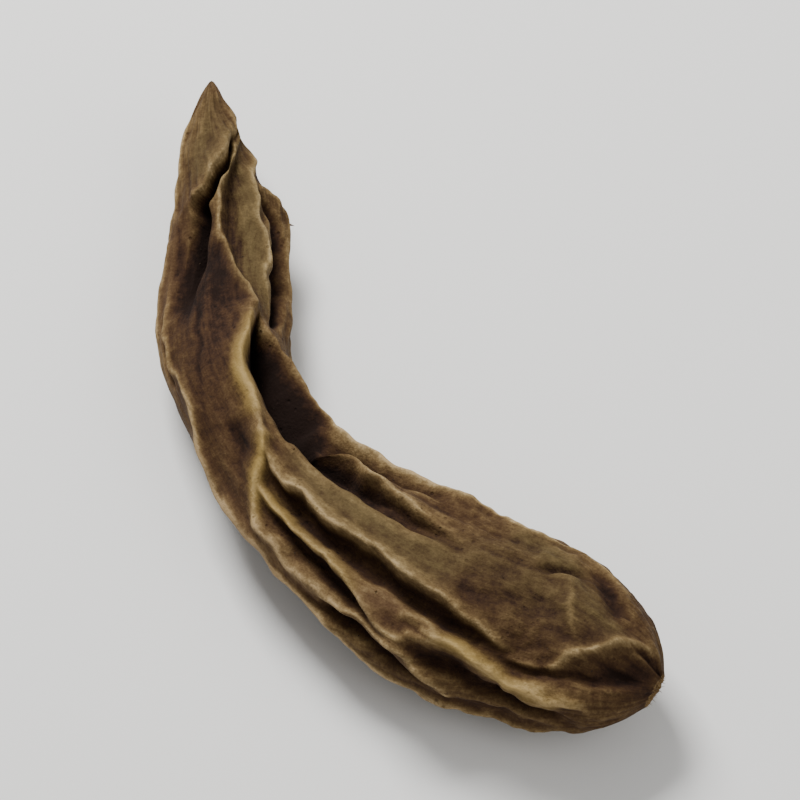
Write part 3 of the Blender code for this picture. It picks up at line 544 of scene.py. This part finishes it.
    def read_grain(self, grain: Grain) -> np.ndarray:
        """Read one noise at every point of the skin.

        Args:
            grain: the noise.

        Returns:
            Its value at each point of each ring, about 0 on average.
        """
        ring = self.tube_radius / grain.wide * np.column_stack([np.cos(self.around), np.sin(self.around)])
        values = np.empty((len(self.along), len(self.around)))
        for row, station in enumerate(self.along):
            for column, (x, y) in enumerate(ring):
                place = Vector((station / grain.long + grain.start, x, y))
                if grain.ridged:
                    values[row, column] = noise.ridged_multi_fractal(
                        place, grain.smoothness, LACUNARITY, grain.octaves, RIDGE_OFFSET, RIDGE_GAIN)
                else:
                    values[row, column] = noise.fractal(
                        place, grain.smoothness, LACUNARITY, grain.octaves)
        return values - values.mean() if grain.ridged else values

    def trace(self, path: Rows, lean: float, pace: np.ndarray, drift: tuple) -> Trace:
        """Measure the skin from a path.

        Args:
            path: stations of along, degrees around, strength and half width.
            lean: half width of the outer flank over that of the inner one.
            pace: mm per radian around, at every point.
            drift: how far the paths wander along and around, at every point.

        Returns:
            The rows that the path reaches, with its strength and distance there.
        """
        stations = np.arange(len(path), dtype=float)
        parts = np.linspace(0, stations[-1], (len(stations) - 1) * self.path_parts + 1)
        fine = smooth_rows(np.column_stack([stations, np.array(path, float)]), parts)
        reach = self.reach * fine[:, 3].max() * max(1.0, lean)
        rows = slice(*np.searchsorted(self.along, (fine[:, 0].min() - reach, fine[:, 0].max() + reach)))
        pace = pace[rows]
        nearest = np.full(pace.shape, np.inf)
        strength, width = np.zeros_like(pace), np.ones_like(pace)
        for start, end in zip(fine[:-1], fine[1:]):
            turn = np.mod(self.around[None, :] - math.radians(start[1]) + math.pi, FULL_TURN) - math.pi
            off_along = self.along[rows, None] - start[0] + drift[0][rows]
            off_around = turn * pace + drift[1][rows]
            run_along = end[0] - start[0]
            run_around = math.radians(end[1] - start[1]) * pace
            t = (off_along * run_along + off_around * run_around) / (run_along ** 2 + run_around ** 2)
            t = np.clip(t, 0, 1)
            distance = np.hypot(off_along - t * run_along, off_around - t * run_around)
            nearer = distance < nearest
            nearest = np.where(nearer, distance, nearest)
            strength = np.where(nearer, start[2] + t * (end[2] - start[2]), strength)
            flank = np.where(run_along * off_around > run_around * off_along, lean, 1.0)
            width = np.where(nearer, flank * (start[3] + t * (end[3] - start[3])), width)
        return Trace(rows, strength, nearest / width, nearest)

    def section(self, shape: FoldShape, distance: np.ndarray) -> np.ndarray:
        """Give the cross section of a fold.

        Args:
            shape: the kind of fold.
            distance: how far off its path, in half widths.

        Returns:
            The height there, as a share of the height on the path.
        """
        if shape is CREST:
            return np.exp(self.crest_rounding - np.hypot(distance, self.crest_rounding))
        if shape is SWELL:
            return np.exp(-distance * distance)
        power = self.gorge_power if shape is GORGE else self.channel_power
        return np.exp(-np.abs(distance) ** power)

    def raise_folds(self, pace: np.ndarray, drift: tuple) -> tuple[np.ndarray, ...]:
        """Add up the folds, in the order of their table.

        Args:
            pace: mm per radian around, at every point.
            drift: how far the paths wander along and around, at every point.

        Returns:
            At every point, the rise, the shift sideways, and how far it is on the edge of a crest.
        """
        height, lean, edge = np.zeros_like(pace), np.zeros_like(pace), np.zeros_like(pace)
        for fold in self.folds:
            traced = self.trace(fold.path, fold.lean, pace, drift)
            raised = traced.strength * self.section(fold.shape, traced.distance)
            height[traced.rows] += raised
            lean[traced.rows] -= fold.curl * raised / max(abs(station[2]) for station in fold.path)
            if fold.shape is CREST:
                full = np.clip(traced.strength / self.bead_full_at, 0, 1)
                bead = full * np.exp(-(traced.apart / self.bead_width) ** 2)
                edge[traced.rows] = np.maximum(edge[traced.rows], bead)
            LOG.debug("%s laid in", fold.name)
        return height, lean, edge

    def skin(self) -> SkinGrid:
        """Raise the folds and wrinkles from the smooth body.

        Returns:
            The rings of the skin, with the marks that its finish reads.
        """
        points, outward, sideways, pace = self.smooth_body()
        drift = (self.drift * self.read_grain(self.drift_along),
                 self.drift * self.read_grain(self.drift_around))
        height, lean, edge = self.raise_folds(pace, drift)
        height *= self.fold_gain + self.fold_change * self.read_grain(self.change)
        height += self.bead_height * edge
        for wrinkle in self.wrinkles:
            fade = smooth_rows(wrinkle.fade, self.along)
            height += fade * wrinkle.height * self.read_grain(wrinkle.grain)
        thinnest = smooth_rows(self.sizes, self.along).min(axis=1)[:, None]
        height = np.maximum(height, -self.deepest * thinnest)
        height, lean = blur(height, 1, 1, passes=1), blur(lean, 1, 1, passes=1)
        points = points + height[..., None] * outward + lean[..., None] * sideways
        points[..., 2] = np.maximum(points[..., 2], 0.0)
        # The finish reads crest and edge as paler tone, partly painted highlight, and hollow as darker
        # tone, partly painted shade; hollow also places the soil crumbs.
        marks = {
            "crest": np.clip((height - blur(height, *self.crest_window)) / self.crest_height, -1, 1),
            "hollow": np.clip((blur(height, *self.hollow_window) - height) / self.hollow_depth, 0, 1),
            "edge": edge,
        }
        for tint in Tint:
            marks[tint.name.lower()] = np.zeros_like(height)
        for stain in self.stains:
            traced = self.trace(stain.path, 1.0, pace, drift)
            spread = self.section(GORGE if stain.sharp else SWELL, traced.distance)
            marks[stain.tint.name.lower()][traced.rows] += traced.strength * spread
        tube = np.stack(np.broadcast_arrays(
            self.along[:, None], self.tube_radius * np.cos(self.around)[None, :],
            self.tube_radius * np.sin(self.around)[None, :]), axis=-1)
        return SkinGrid(points, tube, marks)


def linear(hex_colour: str) -> tuple[float, float, float, float]:
    """Turn an sRGB hex value into a linear colour with full alpha."""
    parts = [int(hex_colour[i:i + 2], 16) / 255 for i in (1, 3, 5)]
    return tuple(c / 12.92 if c <= 0.04045 else ((c + 0.055) / 1.055) ** 2.4 for c in parts) + (1.0,)


def add_node(tree: bpy.types.NodeTree, kind: str, inputs: dict | None = None,
             **settings) -> bpy.types.Node:
    """Add a node with its settings, values and links.

    Args:
        tree: the tree that it goes into.
        kind: the node's type.
        inputs: for each input, by its name or number, a value, or a socket to link from, or a
            node whose first output is meant.
        settings: the node's own properties.

    Returns:
        The new node.
    """
    node = tree.nodes.new(kind)
    for name, value in settings.items():
        setattr(node, name, value)
    for name, value in (inputs or {}).items():
        value = value.outputs[0] if isinstance(value, bpy.types.Node) else value
        if isinstance(value, bpy.types.NodeSocket):
            tree.links.new(value, node.inputs[name])
        else:
            node.inputs[name].default_value = value
    return node


def set_stops(ramp: bpy.types.ColorRamp, stops: Sequence[tuple[float, str]]) -> None:
    """Give a colour ramp its stops.

    Args:
        ramp: the ramp.
        stops: a position and an sRGB hex value for each stop.
    """
    while len(ramp.elements) < len(stops):
        ramp.elements.new(0.5)
    for element, (position, colour) in zip(ramp.elements, stops):
        element.position = position
        element.color = linear(colour)


def new_material(name: str) -> tuple[bpy.types.Material, bpy.types.NodeTree, bpy.types.Node]:
    """Start a material.

    Args:
        name: what the finish is.

    Returns:
        The material, its node tree and its shader.
    """
    material = bpy.data.materials.new(name)
    material.use_nodes = True
    tree = material.node_tree
    return material, tree, tree.nodes["Principled BSDF"]


class Pattern(NamedTuple):
    """A noise of the skin: its name, the size of its marks in mm, and how broken up they are."""

    name: str
    size: float
    detail: float
    roughness: float
    combed: bool = False


@dataclass(frozen=True)
class DriedSkin:
    """Skin of a washed, scalded and sun-dried tuberous root.

    The tone of a spot is a level from 0, darkest, to 1, palest, which the named marks and patterns
    raise or lower by their weights. A tint holds its mark, its colour and how far it takes over.
    The cork is thicker or thinner in patches of a few mm, dried cells mottle it and grain it, and
    striae run along it as streaks, drawn out by comb. Specks are the pits left by fine rootlets.
    The crest, edge and hollow marks and some shade stains also paint light into the tone: painted
    highlight along crests and rims, painted shade down in folds, channels and hollows.
    """

    name: str = "scalded_and_dried_root_skin"
    tones: tuple[tuple[float, str], ...] = (
        (0.0, "#190C06"), (0.2, "#2C1A0E"), (0.38, "#3C2814"), (0.54, "#4E3A21"), (0.7, "#655031"),
        (0.86, "#806B48"), (1.0, "#9E8660"))
    tints: tuple[tuple[str, str, float], ...] = (
        ("yellow", "#92793F", 0.62), ("olive", "#554B2C", 0.5), ("mauve", "#4E3625", 0.5),
        ("torn", "#7A6038", 0.55))
    patterns: tuple[Pattern, ...] = (
        Pattern("patches", 4.0, 4.0, 0.6), Pattern("mottle", 0.42, 4.0, 0.7),
        Pattern("grain", 0.13, 3.0, 0.6), Pattern("streaks", 0.3, 3.0, 0.65, combed=True))
    comb: tuple[float, float, float] = (0.16, 1.0, 1.0)
    speck_mm: float = 0.6
    speck_edge: tuple[float, float] = (0.1, 0.22)
    speck_patches: tuple[float, float] = (0.52, 0.6)
    # crest, edge and hollow set the tone partly as painted light: paler along crests and their beads,
    # partly rubbed skin and partly painted highlight, and darker in the hollows, partly old skin and
    # partly painted shade. Some shade stains are painted shadows and painted highlights.
    crest_levels: tuple[float, float] = (0.1, 0.4)
    weights: tuple[tuple[str, float], ...] = (
        ("mottle", 0.6), ("streaks", 0.5), ("grain", 0.3), ("patches", 0.4), ("shade", 0.3),
        ("hollow", -0.14), ("edge", 0.31), ("specks", -0.16))
    level_drop: float = 0.69
    tinted_levels: tuple[float, float] = (0.12, 0.5)
    relief: tuple[tuple[str, float], ...] = (("streaks", 0.8), ("grain", 0.4), ("specks", -0.7))
    bump_mm: float = 0.1
    bump_strength: float = 0.8
    roughness: tuple[float, float] = (0.95, 0.75)
    specular: float = 0.18

    def parts(self, tree: bpy.types.NodeTree) -> dict:
        """Read the skin's marks and lay its patterns.

        Args:
            tree: the material's tree.

        Returns:
            A socket or a node for each mark and pattern, by its name.
        """
        add = partial(add_node, tree)
        parts = {mark: add("ShaderNodeAttribute", attribute_name=mark).outputs["Fac"]
                 for mark in ("crest", "hollow", "edge", "shade", "yellow", "olive", "mauve", "torn")}
        tube = add("ShaderNodeAttribute", attribute_name="tube").outputs["Vector"]
        combed = add("ShaderNodeVectorMath", {0: tube, 1: self.comb}, operation="MULTIPLY")
        place = add("ShaderNodeTexCoord").outputs["Object"]
        place = add("ShaderNodeVectorMath", {0: place, "Scale": 1 / MM}, operation="SCALE")
        for pattern in self.patterns:
            parts[pattern.name] = add("ShaderNodeTexNoise", {
                "Vector": combed if pattern.combed else place, "Scale": 1 / pattern.size,
                "Detail": pattern.detail, "Roughness": pattern.roughness})
        specks = add("ShaderNodeTexVoronoi", {
            "Vector": place, "Scale": 1 / self.speck_mm, "Randomness": 1.0})
        specks = add("ShaderNodeMapRange", {
            "Value": specks, "From Min": self.speck_edge[0], "From Max": self.speck_edge[1],
            "To Min": 1.0, "To Max": 0.0})
        scarce = add("ShaderNodeMapRange", {
            "Value": parts["patches"], "From Min": self.speck_patches[0],
            "From Max": self.speck_patches[1]})
        parts["specks"] = add("ShaderNodeMath", {0: specks, 1: scarce}, operation="MULTIPLY")
        return parts

    def build(self) -> bpy.types.Material:
        """Make the material.

        Returns:
            The finish of the root's skin.
        """
        # Thin cork over shrunken starchy flesh: matt, with fine lengthwise striae and small dark pits.
        # Darker down in the folds, partly old skin and partly painted shade; paler and faintly waxy along
        # the crests, partly rubbed skin and partly painted highlight.
        material, tree, shader = new_material(self.name)
        shader.inputs["Specular IOR Level"].default_value = self.specular
        add = partial(add_node, tree)
        parts = self.parts(tree)
        level = add("ShaderNodeMapRange", {
            "Value": parts["crest"], "From Min": -1.0, "From Max": 1.0,
            "To Min": self.crest_levels[0], "To Max": self.crest_levels[1]})
        for part, weight in self.weights:
            level = add("ShaderNodeMath", {0: parts[part], 1: weight, 2: level},
                        operation="MULTIPLY_ADD")
        level = add("ShaderNodeMath", {0: level, 1: self.level_drop}, operation="SUBTRACT")
        tones = add("ShaderNodeValToRGB", {0: level})
        set_stops(tones.color_ramp, self.tones)
        lit = add("ShaderNodeMapRange", {
            "Value": level, "From Min": self.tinted_levels[0], "From Max": self.tinted_levels[1]})
        colour = tones.outputs[0]
        for part, tint, amount in self.tints:
            share = add("ShaderNodeMath", {0: parts[part], 1: amount}, operation="MULTIPLY")
            share = add("ShaderNodeMath", {0: share, 1: lit}, operation="MULTIPLY", use_clamp=True)
            colour = add("ShaderNodeMix", {0: share, 6: colour, 7: linear(tint)},
                         data_type="RGBA").outputs[2]
        tree.links.new(colour, shader.inputs["Base Color"])
        rough = add("ShaderNodeMapRange", {
            "Value": level, "To Min": self.roughness[0], "To Max": self.roughness[1]})
        tree.links.new(rough.outputs[0], shader.inputs["Roughness"])
        relief = parts["mottle"]
        for part, weight in self.relief:
            relief = add("ShaderNodeMath", {0: parts[part], 1: weight, 2: relief},
                         operation="MULTIPLY_ADD")
        bump = add("ShaderNodeBump", {
            "Strength": self.bump_strength, "Distance": self.bump_mm * MM, "Height": relief})
        tree.links.new(bump.outputs[0], shader.inputs["Normal"])
        return material


@dataclass(frozen=True)
class LooseGrowth:
    """Torn fibres, rootlet stubs and soil crumbs: dry and matt."""

    name: str
    dark: str
    pale: str
    patch_mm: float = 1.1
    patch_detail: float = 2.0
    stops: tuple[float, float] = (0.35, 0.65)
    roughness: float = 0.9
    specular: float = 0.3

    def build(self) -> bpy.types.Material:
        """Make the material.

        Returns:
            The finish of the growth.
        """
        # Bits differ in tone from place to place, as they come from other depths of the skin.
        material, tree, shader = new_material(self.name)
        shader.inputs["Roughness"].default_value = self.roughness
        shader.inputs["Specular IOR Level"].default_value = self.specular
        add = partial(add_node, tree)
        place = add("ShaderNodeTexCoord").outputs["Object"]
        patches = add("ShaderNodeTexNoise", {
            "Vector": place, "Scale": 1 / (self.patch_mm * MM), "Detail": self.patch_detail})
        tones = add("ShaderNodeValToRGB", {0: patches})
        set_stops(tones.color_ramp, ((self.stops[0], self.dark), (self.stops[1], self.pale)))
        tree.links.new(tones.outputs[0], shader.inputs["Base Color"])
        return material


@dataclass(frozen=True)
class StudioFloor:
    """Pale matt paper sweep."""

    name: str = "pale_studio_paper"
    colour: str = "#E9E8E5"
    roughness: float = 0.9

    def build(self) -> bpy.types.Material:
        """Make the material.

        Returns:
            The finish of the floor.
        """
        # Uncoated paper: no shine, an even pale grey that only takes the root's soft shadow.
        material, _, shader = new_material(self.name)
        shader.inputs["Base Color"].default_value = linear(self.colour)
        shader.inputs["Roughness"].default_value = self.roughness
        return material


def new_object(name: str, data: bpy.types.ID) -> bpy.types.Object:
    """Put a mesh, a light or a camera into the scene, at the origin.

    Args:
        name: the object's name.
        data: what it shows.

    Returns:
        The new object.
    """
    new = bpy.data.objects.new(name, data)
    bpy.context.scene.collection.objects.link(new)
    return new


class GrowthShape(Enum):
    """What is scattered over the skin."""

    SPIKE = "tapered fibre or stub, standing up"
    CRUMB = "small angular crumb"


SPIKE, CRUMB = GrowthShape


@dataclass(frozen=True)
class Growth:
    """One kind of small growth, scattered over a part of the skin.

    where names the mark of the skin that says how thickly it may grow. Sizes are in millimetres.
    lean is the most that it tilts, in degrees, and densest is in points per square metre.
    """

    name: str
    shape: GrowthShape
    finish: LooseGrowth
    where: str
    spacing: float
    share: float
    length: tuple[float, float]
    thickness: float
    lean: float
    seed: int
    densest: float = 4e7
    spike_sides: int = 5
    spike_tip: float = 0.12

    def grow(self, skin: bpy.types.Mesh) -> bpy.types.Object:
        """Scatter the growth over the skin and keep it as a plain mesh.

        Args:
            skin: the mesh that it grows from, with its marks.

        Returns:
            The growth's piece.
        """
        piece = new_object(self.name, skin.copy())
        tree = self.tree()
        modifier = piece.modifiers.new(self.name, "NODES")
        modifier.node_group = tree
        values = {"Spacing": self.spacing * MM, "Share": self.share, "Shortest": self.length[0] * MM,
                  "Longest": self.length[1] * MM, "Thickness": self.thickness * MM,
                  "Lean": math.radians(self.lean), "Seed": self.seed}
        for socket in tree.interface.items_tree:
            if socket.name in values:
                modifier[socket.identifier] = values[socket.name]
        grown = piece.evaluated_get(bpy.context.evaluated_depsgraph_get())
        plain = bpy.data.meshes.new_from_object(grown)
        piece.modifiers.remove(modifier)
        piece.data = plain
        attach(piece, BODY)
        LOG.info("%s: %d faces", self.name, len(plain.polygons))
        return piece

    def tree(self) -> bpy.types.NodeTree:
        """Build the node tree that scatters it.

        Returns:
            The tree, with its sizes and its seed as named inputs.
        """
        tree = bpy.data.node_groups.new(self.name, "GeometryNodeTree")
        inputs = {"Skin": "Geometry", "Spacing": "Float", "Share": "Float", "Shortest": "Float",
                  "Longest": "Float", "Thickness": "Float", "Lean": "Float", "Seed": "Int"}
        for name, kind in inputs.items():
            tree.interface.new_socket(name, in_out="INPUT", socket_type="NodeSocket" + kind)
        tree.interface.new_socket("Growth", in_out="OUTPUT", socket_type="NodeSocketGeometry")
        add = partial(add_node, tree)
        given = add("NodeGroupInput").outputs
        allowed = add("GeometryNodeInputNamedAttribute", {"Name": self.where}, data_type="FLOAT")
        allowed = add("ShaderNodeMath", {0: allowed, 1: given["Share"]}, operation="MULTIPLY")
        spots = add("GeometryNodeDistributePointsOnFaces", {
            "Mesh": given["Skin"], "Distance Min": given["Spacing"], "Density Max": self.densest,
            "Density Factor": allowed, "Seed": given["Seed"]}, distribute_method="POISSON").outputs
        size = add("FunctionNodeRandomValue", {
            2: given["Shortest"], 3: given["Longest"], "Seed": given["Seed"]},
            data_type="FLOAT").outputs[1]
        back = add("ShaderNodeMath", {0: given["Lean"], 1: -1.0}, operation="MULTIPLY")
        turns = [add("FunctionNodeRandomValue", {2: back, 3: given["Lean"], "Seed": seed},
                     data_type="FLOAT").outputs[1] for seed in (self.seed + 1, self.seed + 2)]
        if self.shape is SPIKE:
            bit = add("GeometryNodeMeshCone", {
                "Vertices": self.spike_sides, "Radius Top": self.spike_tip, "Radius Bottom": 1.0,
                "Depth": 1.0})
            stretch = {"X": given["Thickness"], "Y": given["Thickness"], "Z": size}
            tilt = {"X": turns[0], "Y": turns[1]}
        else:
            bit = add("GeometryNodeMeshIcoSphere", {"Radius": 1.0, "Subdivisions": 1})
            stretch = {"X": size, "Y": given["Thickness"], "Z": given["Thickness"]}
            tilt = {"X": turns[0], "Z": turns[1]}
        tilt = add("FunctionNodeEulerToRotation", {"Euler": add("ShaderNodeCombineXYZ", tilt)})
        turned = add("FunctionNodeRotateRotation", {
            "Rotation": spots["Rotation"], "Rotate By": tilt}, rotation_space="LOCAL")
        bits = add("GeometryNodeInstanceOnPoints", {
            "Points": spots["Points"], "Instance": bit, "Rotation": turned,
            "Scale": add("ShaderNodeCombineXYZ", stretch)})
        bits = add("GeometryNodeRealizeInstances", {0: bits})
        bits = add("GeometryNodeSetMaterial", {"Geometry": bits, "Material": self.finish.build()})
        add("NodeGroupOutput", {0: bits})
        return tree


@dataclass
class StemonaRoot:
    """The root: its skin, closed by a broken end and a tip, and what grows from it.

    A row of end_face holds a ring's size, as a share of the skin's first ring, and its height over
    that ring in millimetres. The face is rough by end_rough, in marks of end_rough_mm, and calms
    down towards the skin by the power end_calm.
    """

    form: RootForm = field(default_factory=RootForm)
    skin_finish: DriedSkin = field(default_factory=DriedSkin)
    end_face: Rows = (
        (0.92, 0.04), (0.84, 0.03), (0.75, 0.0), (0.66, -0.04), (0.56, -0.08), (0.46, -0.1),
        (0.36, -0.1), (0.26, -0.08), (0.17, -0.05), (0.08, -0.03))
    end_centre: float = -0.03
    end_rough: float = 0.16
    end_rough_mm: float = 0.35
    end_smoothness: float = 0.8
    end_octaves: int = 3
    end_calm: int = 6
    growth_clearance: float = 1.3
    growths: tuple[Growth, ...] = (
        Growth(name="torn_fibres", shape=SPIKE, where="torn",
               finish=LooseGrowth("torn_root_fibre", dark="#5C4527", pale="#9A8054"),
               spacing=0.085, share=1.0, length=(0.05, 0.26), thickness=0.02, lean=38, seed=3),
        Growth(name="rootlet_stubs", shape=SPIKE, where="whole",
               finish=LooseGrowth("broken_rootlet", dark="#352416", pale="#5E4527"),
               spacing=7.0, share=0.6, length=(0.12, 0.38), thickness=0.07, lean=50, seed=8),
        Growth(name="soil_crumbs", shape=CRUMB, where="hollow",
               finish=LooseGrowth("dry_soil_crumb", dark="#1C120A", pale="#3A2B1D"),
               spacing=0.5, share=0.45, length=(0.03, 0.08), thickness=0.035, lean=90, seed=21),
    )

    def broken_end(self, outline: np.ndarray) -> tuple[np.ndarray, np.ndarray]:
        """Lay out the torn face that closes the blunt end.

        Args:
            outline: points of the skin's first ring.

        Returns:
            The rings of the face, the smallest first, and the point at its middle.
        """
        middle = outline.mean(axis=0)
        out = -self.form.cross_axes(self.form.along[:1])[1][0]
        face = []
        for share, height in self.end_face:
            ring = middle + share * (outline - middle)
            rough = np.array([noise.fractal(Vector(spot / self.end_rough_mm), self.end_smoothness,
                                            LACUNARITY, self.end_octaves) for spot in ring])
            rise = height + self.end_rough * (1 - share ** self.end_calm) * rough
            face.append(ring + rise[:, None] * out)
        return np.array(face[::-1]), middle + self.end_centre * out

    def build(self) -> bpy.types.Object:
        """Build the skin as one closed mesh, dress it and let the small growth stand on it.

        Returns:
            The root's piece.
        """
        skin = self.form.skin()
        face, end_pole = self.broken_end(skin.points[0])
        rings = np.concatenate([face, skin.points])
        tip_pole = smooth_rows(self.form.line, self.form.ends_at)[0]
        points = np.vstack([rings.reshape(-1, 3), end_pole, tip_pole])
        low, high = (MM_PER_METRE * np.array(corner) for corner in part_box(NODE))
        points[:, :2] += (low[:2] + high[:2] - points[:, :2].min(axis=0) - points[:, :2].max(axis=0)) / 2
        mesh = bpy.data.meshes.new("root_skin")
        mesh.from_pydata((points * MM).tolist(), [], self.faces(len(rings)))
        mesh.shade_smooth()
        self.mark(mesh, skin, len(face), points[:, 2])
        mesh.materials.append(self.skin_finish.build())
        piece = new_object("root_skin", mesh)
        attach(piece, BODY)
        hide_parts(NODE)
        LOG.info("root_skin: %d points, %d faces", len(mesh.vertices), len(mesh.polygons))
        for growth in self.growths:
            growth.grow(mesh)
        return piece

    def mark(self, mesh: bpy.types.Mesh, skin: SkinGrid, face_rings: int, heights: np.ndarray) -> None:
        """Give the mesh the attributes that its finish and its growth read.

        Args:
            mesh: the skin's mesh.
            skin: the rings that it was made from.
            face_rings: how many rings the broken end has, which take the marks of the skin's first.
            heights: height of each point over the floor, in mm.
        """
        torn = np.zeros(len(heights))
        torn[:self.form.ring_points * face_rings] = torn[-2] = 1.0
        values = {name: np.concatenate([np.repeat(grid[:1], face_rings, axis=0).ravel(), grid.ravel(),
                                        (0.0, 0.0)]) for name, grid in skin.marks.items()}
        values["torn"] = torn
        values["whole"] = np.where(heights > self.growth_clearance, 1.0 - torn, 0.0)
        for name, value in values.items():
            mesh.attributes.new(name, "FLOAT", "POINT").data.foreach_set("value", value)
        tube = np.vstack([np.repeat(skin.tube[:1], face_rings, axis=0).reshape(-1, 3),
                          skin.tube.reshape(-1, 3), np.zeros((2, 3))])
        mesh.attributes.new("tube", "FLOAT_VECTOR", "POINT").data.foreach_set("vector", tube.ravel())

    def faces(self, rings: int) -> list[tuple[int, ...]]:
        """Join neighbouring rings, and close either end with a fan round its pole.

        Args:
            rings: how many rings there are; the two poles come after their points.

        Returns:
            The corners of each face.
        """
        count = self.form.ring_points
        corner = np.arange(rings * count).reshape(rings, count)
        this, following = corner[:-1], corner[1:]
        quads = np.stack([this, following, np.roll(following, -1, 1), np.roll(this, -1, 1)], axis=-1)
        faces = quads.reshape(-1, 4).tolist()
        end_pole, tip_pole = corner.size, corner.size + 1
        for j in range(count):
            k = (j + 1) % count
            faces.append((end_pole, int(corner[0, j]), int(corner[0, k])))
            faces.append((tip_pole, int(corner[-1, k]), int(corner[-1, j])))
        return faces


class Lamp(NamedTuple):
    """A square soft lamp: its place and size in metres and its power in watts."""

    name: str
    place: tuple[float, float, float]
    size: float
    power: float


@dataclass
class Studio:
    """Plain floor, soft light and the camera: metres, with elevation in degrees, sensor in mm."""

    floor_half: float = 2.0
    elevation: float = 58.0
    frame_width: float = 0.0448
    distance: float = 0.6
    aim: tuple[float, float, float] = (-0.0004, 0.0005, 0.0036)
    sensor: float = 36.0
    lamps: tuple[Lamp, ...] = (
        Lamp("key", (-0.075, 0.14, 0.2), size=0.10, power=1.05),
        Lamp("fill", (0.2, -0.12, 0.2), size=0.25, power=0.3))
    world_light: float = 0.44

    def build(self) -> None:
        """Set up the floor, the lamps, the world and the camera."""
        self.floor()
        for lamp in self.lamps:
            self.hang(lamp)
        world = bpy.data.worlds.new("studio_air")
        world.use_nodes = True
        background = world.node_tree.nodes["Background"]
        background.inputs["Color"].default_value = (1.0, 1.0, 1.0, 1.0)
        background.inputs["Strength"].default_value = self.world_light
        bpy.context.scene.world = world
        self.camera()

    def floor(self) -> None:
        """Lay the floor."""
        half = self.floor_half
        mesh = bpy.data.meshes.new("studio_floor")
        mesh.from_pydata([(-half, -half, 0), (half, -half, 0), (half, half, 0), (-half, half, 0)], [],
                         [(0, 1, 2, 3)])
        mesh.materials.append(StudioFloor().build())
        new_object("studio_floor", mesh)

    def hang(self, lamp: Lamp) -> None:
        """Hang a lamp so that it faces the root.

        Args:
            lamp: which one.
        """
        light = bpy.data.lights.new(lamp.name, "AREA")
        light.size = lamp.size
        light.energy = lamp.power
        hung = new_object(lamp.name, light)
        hung.location = lamp.place
        hung.rotation_euler = (Vector(self.aim) - Vector(lamp.place)).to_track_quat("-Z", "Y").to_euler()

    def camera(self) -> None:
        """Look down on the root as the photograph does."""
        tilt = math.radians(self.elevation)
        camera = bpy.data.cameras.new("camera")
        camera.sensor_width = self.sensor
        camera.lens = self.sensor * self.distance / self.frame_width
        eye = new_object("camera", camera)
        eye.location = Vector(self.aim) + self.distance * Vector((0, -math.cos(tilt), math.sin(tilt)))
        eye.rotation_euler = (math.pi / 2 - tilt, 0, 0)
        bpy.context.scene.camera = eye


def main() -> None:
    """Build the root and its studio."""
    logging.basicConfig(level=logging.INFO, format="%(name)s: %(message)s")
    StemonaRoot().build()
    Studio().build()


if __name__ == "__main__":
    main()
